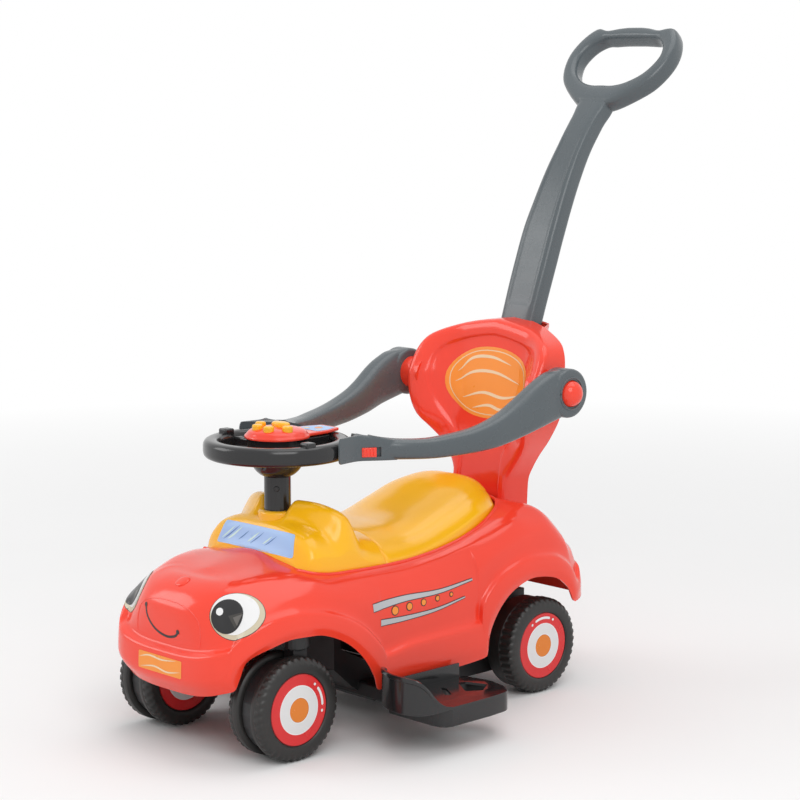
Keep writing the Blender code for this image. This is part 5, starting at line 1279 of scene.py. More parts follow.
def latch_mesh(length, height, depth, along, out=0.0, bevel=0.0):
    """A box on the arm's outer face, told along the arm and out from it."""
    mesh = box_mesh((along - length / 2, -out - depth / 2, -height / 2),
                    (along + length / 2, -out + depth / 2, height / 2), bevel, 2)
    mesh.transform(latch_frame())
    return mesh


class PUSHCAR_OT_arms(bpy.types.Operator):
    """Builds both guard arms, their pivot buttons and the ribbed latch on the left one"""
    bl_idname = "pushcar.arms"
    bl_label = "Guard arms"

    def execute(self, context):
        for side, label in SIDES:
            self.arm(side, label)
            self.pivot_button(side, label)
        self.latch()
        return {"FINISHED"}

    def pivot_bar(self, start, end, radius, sides, bevel=0.0):
        """A round bar on the line of the pivots."""
        return cylinder_mesh((start, PIVOT_Y, PIVOT_Z), (end, PIVOT_Y, PIVOT_Z), radius, sides, bevel)

    def arm(self, side, label):
        """Curved arm with its round end, the cup for the rim, and the bead round its button."""
        centre = Vector((side * PIVOT_X, PIVOT_Y, PIVOT_Z))
        outer = side * (PIVOT_X + ARM_THICKNESS)
        item = raw(loft_mesh([arm_section(side, y) for y in finer(ARM_YS, 4)]))
        carve(item, [self.pivot_bar(centre.x, outer, ARM_END_RADIUS, 72, 0.0045),
                     loft_mesh(saddle_rings(side))], "UNION")
        rim_y = STEER_Y + 0.0056
        cuts = [cylinder_mesh((0.0, rim_y, 0.30), (0.0, rim_y, 0.40), RING_RADIUS + SADDLE_GAP - 0.0012, 120),
                self.pivot_bar(outer + side * 0.002, outer - side * 0.0100, PIVOT_BUTTON_RADIUS + GAP, 56),
                self.pivot_bar(side * (PIVOT_X - 0.002), outer - side * 0.0090, PIVOT_PIN_RADIUS + GAP, 28)]
        if side > 0:
            cuts.append(latch_mesh(LATCH_LENGTH + LATCH_TRAVEL + 2 * GAP, LATCH_HEIGHT + 2 * GAP, 0.0110,
                                   -LATCH_TRAVEL / 2))
        carve(item, cuts)
        body = "arm_" + label
        settle(item, f"guard_arm_{label}_fine", "grey", body, ["guard_arm_" + label], centre)
        bead = [(outer, PIVOT_Y + a, PIVOT_Z + b) for a, b, _ in round_ring(0.0205, 56, 0.0)]
        settle(raw(tube_mesh(bead, 0.0014, 8, closed=True)), "pivot_collar_" + label, "grey", body,
               centre=centre)

    def pivot_button(self, side, label):
        """Domed red button in the round end of an arm."""
        profile = smooth_path([(0.0002, 0.0188), (0.0070, 0.0176), (0.0125, 0.0142), (0.0160, 0.0090),
                               (PIVOT_BUTTON_RADIUS, 0.0030)], 16)
        rows = [[(side * out, y, z) for y, z, _ in round_ring(radius, 56, 0.0)]
                for radius, out in profile]
        rows.append([(0.0, y, z) for _, y, z in rows[-1]])
        item = raw(loft_mesh(rows))
        foot = side * (PIVOT_X + ARM_THICKNESS - 0.0060)
        item.data.transform(Matrix.Translation((foot, PIVOT_Y, PIVOT_Z)))
        node = "pivot_button_" + label
        settle(item, node + "_fine", "red", node, [node], (side * PIVOT_X, PIVOT_Y, PIVOT_Z))

    def latch(self):
        """Sliding latch with four ribs for the thumb."""
        item = raw(latch_mesh(LATCH_LENGTH, LATCH_HEIGHT, LATCH_DEPTH, -LATCH_TRAVEL, bevel=0.0006))
        pitch = LATCH_LENGTH / 4.5
        start = -LATCH_TRAVEL - LATCH_LENGTH / 2
        ribs = [latch_mesh(pitch * 0.5, LATCH_HEIGHT - 0.002, 0.003, start + pitch * (i + 0.75),
                           LATCH_DEPTH / 2, 0.0005) for i in range(4)]
        carve(item, ribs, "UNION")
        settle(item, "latch_fine", "red", "latch", ["latch_slider"], LATCH_PLACE)


# Backrest

def back_front(x, z):
    """Front face of the backrest, its wings standing forward of the middle."""
    t = ease((abs(x) - 0.050) / 0.068)
    high = clamped((z - 0.400) / 0.070)
    low = clamped((z - 0.280) / 0.060)
    return back_plane(z) - BACK_WING * t * (1.0 - 0.7 * high) * low


def back_outline():
    """Half outline in (x, z), from the top of the middle down to the foot."""
    foot = BACK_FOOT_HALF_WIDTH
    keys = [(0.0, 0.4760), (0.030, 0.4725), (0.064, 0.4655), (0.093, 0.4555), (0.1095, 0.4450),
            (0.1172, 0.4280), (0.1178, 0.4040), (0.1145, 0.3800), (0.1040, 0.3510), (0.0860, 0.3240),
            (0.0640, 0.2970), (0.0500, 0.2740), (foot, 0.2600)]
    made = [(max(p.x, 0.0), p.y) for p in smooth_path(keys, 46)]
    return made + [(foot, z) for z in (0.2500, 0.2300, 0.2080, BACK_FOOT_Z)]


def shrunk(x, z, share):
    """A point of the outline drawn in towards the middle of the backrest."""
    return x * share, BACK_MID_Z + (z - BACK_MID_Z) * share


def back_ring(outline, share, setback):
    """The outline drawn in, on the front face set back by some way."""
    inner = [shrunk(x, z, share) for x, z in outline]
    return [(x, back_front(x, z) + setback, z) for x, z in inner]


def half_skin(rings):
    """Skin over half rings that run from the top of the middle line to the foot's middle."""
    return grid_mesh([ring + [(0.0, *ring[-1][1:])] for ring in rings], 0.00005)


def back_rear(x, z):
    """Rear face, swelling in the middle to take the foot of the handle."""
    t = ease((abs(x) - 0.028) / 0.034)
    swell = smooth_value(((0.300, 0.0), (0.350, 0.018), (0.385, 0.0390), (0.430, 0.0530), (0.4585, 0.0480),
                          (0.476, 0.0300)), z)
    return back_edge(z) + swell * (1.0 - t)


def inset_point(x, z, distance):
    """Outline point moved towards the middle of the backrest by about the distance."""
    away = Vector((x, z - 0.36))
    if z < BACK_KNEE_Z + 0.02:
        return max(x - distance, 0.0), max(z, BACK_FOOT_Z + distance)
    away = away.normalized() * distance * 1.15
    lean = BACK_WALL * 0.7 * clamped((z - 0.390) / 0.040)
    return max(x - away.x, 0.0), z - away.y - lean


class PUSHCAR_OT_backrest(bpy.types.Operator):
    """Builds the backrest's front shell with its raised border, and its rear cover"""
    bl_idname = "pushcar.backrest"
    bl_label = "Backrest"

    def execute(self, context):
        self.front()
        self.rear()
        return {"FINISHED"}

    def front(self):
        """Dished front with a raised border, its side wall and the bosses of the pivots."""
        outline = back_outline()
        profile = [(share, 0.0030) for share in (0.001, 0.15, 0.30, 0.44, 0.58, 0.70)]
        profile += [(0.738, 0.0029), (0.750, 0.0024), (0.762, 0.0010), (0.774, 0.0001), (0.786, -0.0003),
                    (0.83, -0.0006), (0.88, -0.0007), (0.92, -0.0003), (0.95, 0.0005), (0.97, 0.0016),
                    (0.985, 0.0034), (0.995, 0.0055), (1.0, 0.0075)]
        rings = [back_ring(outline, share, setback) for share, setback in profile]
        for part in (0.25, 0.6, 1.0):
            rings.append([(x, (1 - part) * (back_front(x, z) + 0.0075) + part * back_edge(z), z)
                          for x, z in outline])
        item = raw(half_skin(rings))
        mirror_and_thicken(item, BACK_WALL)
        bosses = [cylinder_mesh((side * 0.0990, PIVOT_Y, PIVOT_Z),
                                (side * (PIVOT_X - 0.0005), PIVOT_Y, PIVOT_Z), BACK_BOSS_RADIUS, 56)
                  for side in (-1, 1)]
        carve(item, bosses, "UNION")
        carve(item, [handle_cutter()])
        settle(item, "backrest_front_fine", "red", "root", ["backrest_front"])

    def rear(self):
        """Rear cover inside the front's side wall."""
        rings = []
        for share, push in ((0.001, 0.0), (0.16, 0.0), (0.28, 0.0), (0.38, 0.0), (0.46, 0.0), (0.54, 0.0),
                            (0.66, 0.0), (0.80, 0.0), (0.92, -0.0005), (1.0, -0.002)):
            inner = [inset_point(x, z, BACK_WALL + GAP) if share == 1.0 else shrunk(x, z, share)
                     for x, z in back_outline()]
            rings.append([(x, back_rear(x, z) + push, z) for x, z in inner])
        item = raw(half_skin(rings[::-1]))
        mirror_and_thicken(item, BACK_WALL)
        carve(item, [handle_cutter()])
        settle(item, "backrest_rear_fine", "red", "root", ["backrest_rear"])


# Push handle

HANDLE_LINE = ((0.400, 0.2642), (0.4719, 0.2885), (0.5112, 0.3020), (0.5505, 0.3165), (0.5898, 0.3316),
               (0.6292, 0.3502), (0.6686, 0.3711), (0.7081, 0.3962), (0.7346, 0.4161), (0.755, 0.4330),
               (0.790, 0.4640))
HANDLE_WIDTHS = ((0.400, 0.0575), (0.4719, 0.0580), (0.55, 0.0598), (0.59, 0.0592), (0.63, 0.0545),
                 (0.67, 0.0497), (0.71, 0.0449), (0.74, 0.0450), (0.755, 0.0500))
HANDLE_DEPTHS = ((0.40, 0.0290), (0.55, 0.0290), (0.755, 0.0270))
HANDLE_LEVELS = (0.400, 0.436, 0.4719, 0.5112, 0.5505, 0.585, 0.615, 0.64, 0.665, 0.69, 0.715,
                 0.7400, 0.7530, 0.7680)
HANDLE_PANEL = ((0.490, 0.0), (0.500, 1.0), (0.706, 1.0), (0.720, 0.0))
HANDLE_PANEL_DEPTH = 0.0014


def handle_section(z, grow=0.0, points=48):
    """Section of the grip bar square to its run, with a long shallow panel in its front."""
    step = 0.004
    y = smooth_value(HANDLE_LINE, z)
    sway = smooth_value(HANDLE_LINE, z + step) - smooth_value(HANDLE_LINE, z - step)
    run = Vector((sway, 2 * step)).normalized()
    back = Vector((run.y, -run.x))
    half = smooth_value(HANDLE_WIDTHS, z) / 2 + grow
    depth = smooth_value(HANDLE_DEPTHS, z)
    panel = HANDLE_PANEL_DEPTH * smooth_value(HANDLE_PANEL, z) if grow == 0.0 else 0.0
    made = []
    for k in range(points):
        c, s = superellipse(math.tau * (k + 0.5) / points, 0.42)
        b = depth / 2 + s * (depth / 2 + grow)
        if s < -0.9:
            b += panel * (1.0 - ease((abs(c) - 0.60) / 0.10))
        made.append((c * half, y + back.x * b, z + back.y * b))
    return made


def handle_cutter():
    """The foot of the handle with some play, to cut its seat in the backrest."""
    levels = (HANDLE_LEVELS[0] - 0.005,) + HANDLE_LEVELS[:4]
    return loft_mesh([handle_section(z, HANDLE_PLAY, 24) for z in levels])


def loop_sections():
    """Closed run of sections round the grip loop, in the plane that leans back."""
    outer = [(0.0, 0.7580), (0.027, 0.7600), (0.0560, 0.7740), (0.0800, 0.7920), (0.0915, 0.8180),
             (0.0870, 0.8420), (0.0700, 0.8600), (0.0480, 0.8575), (0.0240, 0.8610), (0.0, 0.8625)]
    inner = [(0.0, 0.7850), (0.0200, 0.7850), (0.0400, 0.7890), (0.0610, 0.8010), (0.0715, 0.8200),
             (0.0650, 0.8370), (0.0500, 0.8460), (0.0350, 0.8475), (0.0180, 0.8480), (0.0, 0.8480)]
    count = 49
    half_outer = smooth_path(outer, count, start_on_plane=True, end_on_plane=True)
    half_inner = smooth_path(inner, count, start_on_plane=True, end_on_plane=True)
    lean = Vector((0.0, LOOP_LEAN, 1.0)).normalized()
    back = Vector((0.0, lean.z, -lean.y))
    sections = []
    sides = [(1, i) for i in range(count)] + [(-1, i) for i in range(count - 2, 0, -1)]
    for side, i in sides:
        ring = []
        for k in range(20):
            c, s = superellipse(math.tau * (k + 0.5) / 20, 0.62)
            a = 0.5 + 0.5 * c
            spot = half_inner[i] * (1 - a) + half_outer[i] * a
            base = Vector((side * spot.x, 0.4180 + LOOP_LEAN * (spot.y - 0.7400), spot.y))
            ring.append(base + back * (s * LOOP_THICKNESS / 2 + LOOP_THICKNESS / 2))
        sections.append(ring)
    return sections


class PUSHCAR_OT_handle(bpy.types.Operator):
    """Builds the grey push handle with its long panel and the grip loop"""
    bl_idname = "pushcar.handle"
    bl_label = "Push handle"

    def execute(self, context):
        levels = sorted(finer(HANDLE_LEVELS, 4) + [0.492, 0.4945, 0.4975, 0.708, 0.711, 0.7165])
        item = raw(loft_mesh([handle_section(z) for z in levels]))
        carve(item, (loft_mesh(loop_sections(), caps=False, loop=True),), "UNION")
        limit = Vector(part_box("push_handle")[1]) - PLACE
        for vertex in item.data.vertices:
            vertex.co.y = min(vertex.co.y, limit.y)
            vertex.co.z = min(vertex.co.z, limit.z)
        settle(item, "push_handle_fine", "grey", "root", ["push_handle"])
        return {"FINISHED"}


# Footrests

GUARD_LINE = ((0.0, -0.0870), (0.0050, -0.0960), (0.0200, -0.1100), (0.0450, -0.1210), (0.0670, -0.1225),
              (0.0840, -0.1170), (0.0915, -0.1070), (0.0938, -0.0900), (FOOT_WIDTH, -0.0650))
GUARD_TOPS = ((0.0, 0.0920), (0.12, 0.0960), (0.30, 0.0995), (0.50, 0.1000), (0.62, 0.0985), (0.72, 0.0930),
              (0.80, 0.0830), (0.88, 0.0700), (0.95, 0.0610), (1.0, FOOT_TOP_Z + 0.0004))
TRAY_REAR = ((FOOT_WIDTH, 0.0000), (0.0910, 0.0340), (0.0710, 0.0480), (0.0390, 0.0545), (0.0050, 0.0470),
             (0.0, 0.0400))
SKIRT_FRONT = ((0.0, -0.0800), (0.0740, -0.0800), (0.0840, -0.0782), (0.0910, -0.0730),
               (FOOT_WIDTH, -0.0650))
LARGE_WINDOW = ((0.0200, 0.0180), (0.0240, 0.0280), (0.0510, 0.0385), (0.0660, 0.0150), (0.0540, -0.0035))
SMALL_WINDOW = ((0.0210, -0.0130), (0.0290, -0.0110), (0.0550, -0.0270), (0.0485, -0.0340))


class PUSHCAR_OT_footrests(bpy.types.Operator):
    """Builds both footrests: rounded tray with its windows, toe guard with a rolled rim, and upstand"""
    bl_idname = "pushcar.footrests"
    bl_label = "Footrests"

    def execute(self, context):
        for side, label in SIDES:
            self.footrest(side, label)
        return {"FINISHED"}

    def at(self, side, point):
        """Place in plan of a point told from the footrest's inner edge."""
        return side * (FOOT_INNER_X + point[0]), point[1]

    def footrest(self, side, label):
        """Tray, skirt under it, toe guard and upstand in one moulding, with its cuts."""
        def run(points):
            return [self.at(side, p) for p in points]

        def across(low, high):
            return sorted((side * low, side * high))

        rear = rounded_run(run(TRAY_REAR), 0.020)
        front = smooth_path(GUARD_LINE, 40)
        underside = FOOT_TOP_Z - FOOT_WALL
        item = raw(outline_mesh(run(front) + rear, underside, FOOT_TOP_Z, 0.0009))
        skirt = run(SKIRT_FRONT) + rear
        (middle_x, middle_y), share = self.at(side, (FOOT_WIDTH / 2, -0.0130)), 0.930
        hollow = [(middle_x + (x - middle_x) * share, middle_y + (y - middle_y) * share)
                  for x, y in skirt]
        carve(item, [outline_mesh(skirt, FOOT_SKIRT_Z, FOOT_TOP_Z - 0.0002, 0.0012)], "UNION")
        carve(item, [outline_mesh(hollow, FOOT_SKIRT_Z - 0.01, underside)])
        near, far = across(FOOT_INNER_X, FOOT_INNER_X + FOOT_WALL)
        upstand = box_mesh((near, -0.0850, FOOT_TOP_Z - 0.002), (far, 0.0380, FOOT_UPSTAND_Z), 0.0010, 3)
        carve(item, [self.guard(side, front), upstand], "UNION")
        cuts = [outline_mesh(rounded(run(window), 0.004, 4), FOOT_SKIRT_Z - 0.01, FOOT_TOP_Z + 0.01)
                for window in (LARGE_WINDOW, SMALL_WINDOW)]
        near, far = across(FOOT_INNER_X - 0.005, BEAM_HALF_LENGTH + GAP)
        cuts.append(box_mesh((near, BEAM_FRONT_Y - GAP, FOOT_SKIRT_Z - 0.004),
                             (far, BEAM_REAR_Y + GAP, underside)))
        carve(item, cuts)
        node = "footrest_" + label
        settle(item, node + "_fine", "gloss_black", "root", [node])

    def guard(self, side, front):
        """Curved wall round the toes, thicker at its rolled rim, sweeping down along the outer edge."""
        rings = []
        last = len(front) - 1
        low = FOOT_TOP_Z - FOOT_WALL + 0.0005
        for i, here in enumerate(front):
            run = (front[min(i + 1, last)] - front[max(i - 1, 0)]).normalized()
            inward = Vector((-run.y, run.x))
            top = smooth_value(GUARD_TOPS, i / last)
            rim = 0.0012 * ease((top - FOOT_TOP_Z) / 0.012)
            shape = ((0.0, low), (0.0, top - 0.0060), (-rim, top - 0.0048), (-rim, top - 0.0014),
                     (-rim * 0.3, top), (FOOT_WALL * 0.7, top), (FOOT_WALL, top - 0.0012), (FOOT_WALL, low))
            ring = []
            for away, z in shape:
                spot = here + inward * away
                place = self.at(side, (min(max(spot.x, 0.0), FOOT_WIDTH), spot.y))
                ring.append((*place, max(z, low + 0.0002 * away)))
            rings.append(ring)
        return loft_mesh(rings)


def rounded_run(points, radius):
    """A run of corners, each but the first and last rounded."""
    return [points[0]] + rounded(points, radius, 4)[5:-5] + [points[-1]]


# Stickers, laid on the pieces that carry them

EYE_HALF_SIZE = (0.0325, 0.0290)
SMILE_LINE = ((-0.0390, 0.0150), (-0.0350, 0.0010), (-0.0200, -0.0120), (0.0000, -0.0170),
              (0.0160, -0.0140), (0.0220, -0.0080))


def laid_on(tree, flat, across, out, lift):
    """Spot on a surface under a flat one; a ray that slips through a seam is tried again beside it."""
    for aside in (0.0, 0.0003, -0.0003):
        spot, normal, _, _ = tree.ray_cast(flat + across * aside + out * 0.12, -out)
        if spot is not None:
            if normal.dot(out) < 0.0:
                normal = -normal
            return spot - across * aside + normal * lift
    raise RuntimeError(f"a sticker runs off its surface near {tuple(flat)}")


def film_mesh(outline, origin, across, up, tree, lift, cuts):
    """Fills a flat outline and lays it on a surface, standing off it by the lift."""
    out = across.cross(up).normalized()
    bm = bmesh.new()
    face = bm.faces.new([bm.verts.new((a, b, 0.0)) for a, b in outline])
    bmesh.ops.triangulate(bm, faces=[face])
    for _ in range(cuts):
        bmesh.ops.subdivide_edges(bm, edges=[e for e in bm.edges if e.calc_length() > 0.0035], cuts=1,
                                  use_grid_fill=False)
        bmesh.ops.triangulate(bm, faces=bm.faces[:])
    for v in bm.verts:
        flat = origin + across * v.co.x + up * v.co.y
        v.co = laid_on(tree, flat, across, out, lift)
    mesh = finished(bm)
    if mesh.polygons[0].normal.dot(out) < 0.0:
        mesh.flip_normals()
    return mesh


def ellipse(a, b, x=0.0, y=0.0, count=44, power=1.0):
    """Flat oval outline round (x, y)."""
    turns = [superellipse(math.tau * i / count, power) for i in range(count)]
    return [(x + a * c, y + b * s) for c, s in turns]


def ribbon(points, widths):
    """Flat outline of a stroke that follows a line, with a width at each point."""
    left, right = [], []
    for i, here in enumerate(points):
        ahead = points[min(i + 1, len(points) - 1)]
        behind = points[max(i - 1, 0)]
        run = (ahead - behind).normalized()
        side = Vector((-run.y, run.x))
        left.append(here + side * widths[i] / 2)
        right.append(here - side * widths[i] / 2)
    return left + right[::-1]


def swoosh(points, width, steps=14):
    """A stroke that is thin at both ends."""
    bulge = [max(math.sin(math.pi * i / (steps - 1)), 0.0) ** 0.7 for i in range(steps)]
    return ribbon(smooth_path(points, steps), [max(width * share, 0.0003) for share in bulge])


class PUSHCAR_OT_stickers(bpy.types.Operator):
    """Lays the eyes, smile, plate, windscreen and plain designs on body, backrest and pod"""
    bl_idname = "pushcar.stickers"
    bl_label = "Stickers"

    def execute(self, context):
        self.film = context.scene.push_car_looks.film
        self.trees = {name: surface_of(bpy.data.objects[name])
                      for name in ("body_shell_fine", "dash_fine", "backrest_front_fine", "music_pod_fine")}
        self.eyes()
        self.smile()
        self.plate()
        self.windscreen()
        self.side_design()
        self.backrest_oval()
        self.tray_label()
        return {"FINISHED"}

    def lay(self, name, outline, carrier, place, finish, level=1, cuts=3, body="root"):
        """Lays a film on a carrier; its place is (origin, across, up) in the car's own axes."""
        origin, across, up = place
        offset = bpy.data.objects[carrier].location - PLACE
        item = raw(film_mesh(outline, origin - offset, across, up, self.trees[carrier],
                             self.film * level, cuts))
        item.location = PLACE + offset
        named(item, name, FINISHES[finish])
        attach(item, body)

    def tangent(self, carrier, centre, outward):
        """Spot on a carrier's surface near a centre, with the directions across and up there."""
        spot, normal, _, _ = self.trees[carrier].ray_cast(centre + outward * 0.08, -outward)
        if normal.dot(outward) < 0.0:
            normal = -normal
        across = UP.cross(normal).normalized()
        return spot, across, normal.cross(across)

    def eyes(self):
        """Ball, wide rim, pupil with a painted sheen of two grey wedges, and a glint, each film on the last."""
        half, tall = EYE_HALF_SIZE
        x = -0.0111
        layers = (
            ("edge", ellipse(half, tall), "print_black"),
            ("rim", ellipse(half - 0.0007, tall - 0.0007), "print_beige"),
            ("ball", ellipse(half - 0.0044, tall - 0.0040, -0.0028, 0.0022), "print_white"),
            ("pupil", ellipse(0.0190, 0.0206, x, -0.0019), "print_black"),
            # The shade and sheen wedges are a painted sheen on the pupil: a darker outer wedge and a paler
            # inner one.
            ("shade", [(x + 0.0180, 0.0050), (x + 0.0010, -0.0014), (x + 0.0122, -0.0152)], "sheen_dusk"),
            ("sheen", [(x + 0.0180, 0.0026), (x + 0.0072, -0.0026), (x + 0.0143, -0.0120)], "sheen_grey"),
            ("glint", ellipse(0.0040, 0.0046, x - 0.0098, 0.0020), "print_white"),
        )
        for side, label in SIDES:
            outward = Vector((side * 0.62, -0.74, 0.25)).normalized()
            place = self.tangent("body_shell_fine", Vector((side * 0.0919, -0.2728, 0.1782)), outward)
            for level, (part, outline, finish) in enumerate(layers, 1):
                self.lay(f"eye_{part}_{label}", outline, "body_shell_fine", place, finish, level)

    def front_place(self, z):
        """Place of a film on the nose at a height."""
        return Vector((0.0, NOSE_Y, z)), ACROSS, UP

    def smile(self):
        """Crooked smile with a round end at each corner of the mouth."""
        place = self.front_place(0.160)
        line = smooth_path(SMILE_LINE, 22)
        self.lay("smile", ribbon(line, [0.0030] * len(line)), "body_shell_fine", place, "print_black")
        for label, (x, z) in (("right", SMILE_LINE[0]), ("left", SMILE_LINE[-1])):
            self.lay("smile_end_" + label, ellipse(0.0028, 0.0028, x, z, 20), "body_shell_fine", place,
                     "print_black", 2)

    def plate(self):
        """Front plate with two plain strokes."""
        place = self.front_place(0.1110)
        outline = rounded([(-0.0405, -0.0105), (0.0405, -0.0105), (0.0405, 0.0105), (-0.0405, 0.0105)],
                          0.0025, 4)
        self.lay("plate_ground", outline, "body_shell_fine", place, "print_orange")
        strokes = (((-0.039, 0.0030), (-0.020, 0.0075), (0.004, 0.0060), (0.030, 0.0090)),
                   ((-0.036, -0.0080), (-0.010, -0.0040), (0.014, -0.0070), (0.038, -0.0030)))
        for i, stroke in enumerate(strokes):
            self.lay(f"plate_stroke_{i}", swoosh(stroke, 0.0022), "body_shell_fine", place, "print_cream", 2)

    def windscreen(self):
        """Blue screen on the dash's slope, with slanted streaks told by place, height and width."""
        place = (Vector((0.0, -0.1680, 0.2424)), ACROSS, Vector((0.0, 0.0145, 0.0262)).normalized())
        outline = rounded([(-0.0715, -0.0140), (0.0715, -0.0140), (0.0640, 0.0150), (-0.0640, 0.0150)],
                          0.004, 4)
        self.lay("windscreen", outline, "dash_fine", place, "screen_blue", 1, 4)
        strokes = ((-0.052, 0.019, 0.0024, "print_pale"), (-0.046, 0.022, 0.0016, "screen_dark"),
                   (-0.039, 0.020, 0.0030, "print_pale"), (-0.022, 0.014, 0.0014, "screen_dark"),
                   (-0.004, 0.016, 0.0026, "print_pale"), (0.003, 0.018, 0.0014, "screen_dark"),
                   (0.022, 0.012, 0.0022, "print_pale"), (0.028, 0.015, 0.0013, "screen_dark"))
        for i, (x, tall, width, finish) in enumerate(strokes):
            line = ((x - 0.55 * tall, -0.42 * tall), (x - 0.1 * tall, -0.08 * tall),
                    (x + 0.55 * tall, 0.5 * tall))
            self.lay(f"screen_streak_{i}", swoosh(line, width), "dash_fine", place, finish, 2, 4)

    def side_design(self):
        """Two stripes that taper to the rear, with a row of dots between them."""
        stripes = (((-0.082, 0.0080), (-0.030, 0.0115), (0.030, 0.0110), (0.088, 0.0170), 0.0092),
                   ((-0.070, -0.0120), (-0.026, -0.0125), (0.024, -0.0105), (0.074, -0.0030), 0.0070))
        for side, label in SIDES:
            place = (Vector((side * 0.135, -0.0110, 0.1560)), side * REARWARD, UP)
            for i, (*line, width) in enumerate(stripes):
                path = smooth_path([(a * side, b) for a, b in line], 24)
                for level, part, more, finish in ((1, "edge", 0.0020, "print_black"),
                                                  (2, "field", 0.0, "print_silver")):
                    widths = [width * (1.0 - 0.80 * k / 23) + more for k in range(24)]
                    self.lay(f"side_stripe_{part}_{label}_{i}", ribbon(path, widths), "body_shell_fine",
                             place, finish, level)
            for i in range(5):
                x, y, radius = side * (-0.046 + 0.024 * i), -0.0006 + 0.0012 * i, 0.0050 - 0.0007 * i
                for level, part, more, finish in ((1, "edge", 0.0012, "print_black"),
                                                  (2, "field", 0.0, "print_orange")):
                    self.lay(f"side_dot_{part}_{label}_{i}", ellipse(radius + more, radius + more, x, y, 28),
                             "body_shell_fine", place, finish, level)

    def backrest_oval(self):
        """Orange oval with a cream line inside its edge and four plain strokes."""
        tilt = math.atan(BACK_LEAN)
        place = (Vector((0.0, back_plane(BACK_MID_Z) + 0.003, BACK_MID_Z)), ACROSS,
                 Vector((0.0, math.sin(tilt), math.cos(tilt))))
        half, tall = 0.073, 0.0475
        layers = (("ground", 0.0, 0.0, "print_orange"), ("line", 0.0045, 0.0042, "print_cream"),
                  ("field", 0.0058, 0.0055, "print_orange"))
        for level, (part, less, lower, finish) in enumerate(layers, 1):
            self.lay("back_sticker_" + part, ellipse(half - less, tall - lower, power=0.92),
                     "backrest_front_fine", place, finish, level, 4)
        strokes = (((-0.058, 0.010), (-0.035, 0.030), (0.000, 0.034), (0.036, 0.026)),
                   ((-0.060, -0.004), (-0.030, 0.012), (0.010, 0.014), (0.056, 0.002)),
                   ((-0.046, -0.024), (-0.010, -0.014), (0.026, -0.018), (0.056, -0.012)),
                   ((-0.026, -0.036), (0.002, -0.030), (0.024, -0.034), (0.042, -0.028)))
        for i, stroke in enumerate(strokes):
            self.lay(f"back_stroke_{i}", swoosh(stroke, 0.0042, 20), "backrest_front_fine", place,
                     "print_cream", 4, 4)

    def tray_label(self):
        """Blue label with dots on the pod's tray."""
        place = (Vector((0.0, STEER_Y + 0.0640, POD_FOOT + TRAY_THICKNESS)), ACROSS, REARWARD)
        outline = rounded([(-0.0200, -0.0160), (0.0200, -0.0160), (0.0200, 0.0010), (0.0135, 0.0190),
                           (-0.0135, 0.0190), (-0.0200, 0.0010)], 0.004, 4)
        self.lay("tray_label_ground", outline, "music_pod_fine", place, "screen_blue", 1, 3, "steering")
        dots = ((-0.010, -0.007, 0.0042, "print_cream"), (0.001, 0.003, 0.0052, "print_orange"),
                (0.011, -0.006, 0.0038, "print_white"), (-0.007, 0.011, 0.0032, "print_white"))
        for i, (x, y, radius, finish) in enumerate(dots):
            self.lay(f"tray_label_dot_{i}", ellipse(radius, radius, x, y, 24), "music_pod_fine", place,
                     finish, 2, 3, "steering")


# Finishes, and the pieces that stay as packed

MOULDED = {
    # finish: name, colour setting, roughness, grain, depth, colour drift, roughness drift, wear
    "red": ("red_gloss_plastic", "red", 0.15, 1600.0, 0.000002, 0.025, 0.02, 0.16),
    "yellow": ("yellow_gloss_plastic", "yellow", 0.20, 1600.0, 0.000003, 0.02, 0.02, 0.16),
    "grey": ("grey_satin_plastic", "grey", 0.27, 2400.0, 0.000006, 0.05, 0.03, 0.14),
    "black": ("black_satin_plastic", "black", 0.40, 2000.0, 0.000012, 0.10, 0.04, 0.08),
    "gloss_black": ("black_gloss_plastic", "black", 0.15, 1600.0, 0.000003, 0.08, 0.02, 0.08),
    "tyre": ("tyre_plastic", "tyre", 0.42, 1500.0, 0.000020, 0.12, 0.04, 0.06),
}
PRINTS_AND_SHEEN = {
    "print_white": ("white_print", (0.84, 0.84, 0.84)),
    "print_black": ("black_print", (0.012, 0.012, 0.013)),
    # dusk and grey: painted sheen on the eyes' pupils
    "sheen_dusk": ("dusk_print", (0.045, 0.042, 0.038)),
    "print_beige": ("beige_print", (0.62, 0.55, 0.40)),
    "sheen_grey": ("grey_print", (0.13, 0.12, 0.11)),
    "print_pale": ("pale_green_print", (0.60, 0.82, 0.80)),
    "print_silver": ("silver_print", (0.50, 0.51, 0.53)),
    "print_cream": ("cream_print", (0.88, 0.66, 0.42)),
    "screen_dark": ("deep_blue_print", (0.05, 0.16, 0.46)),
}
KEPT = {
    "red": ["inner_deck"],
    "gloss_black": ["steering_column"],
    "black": ["chassis", "caster_fork_left", "caster_fork_right", "column_screw"],
    "steel": ["rear_axle", "caster_axle_left", "caster_axle_right", "axle_clip_left", "axle_clip_right",
              "seat_hinge_pin", "pivot_pin_left", "pivot_pin_right"],
}
FINISHES = {}


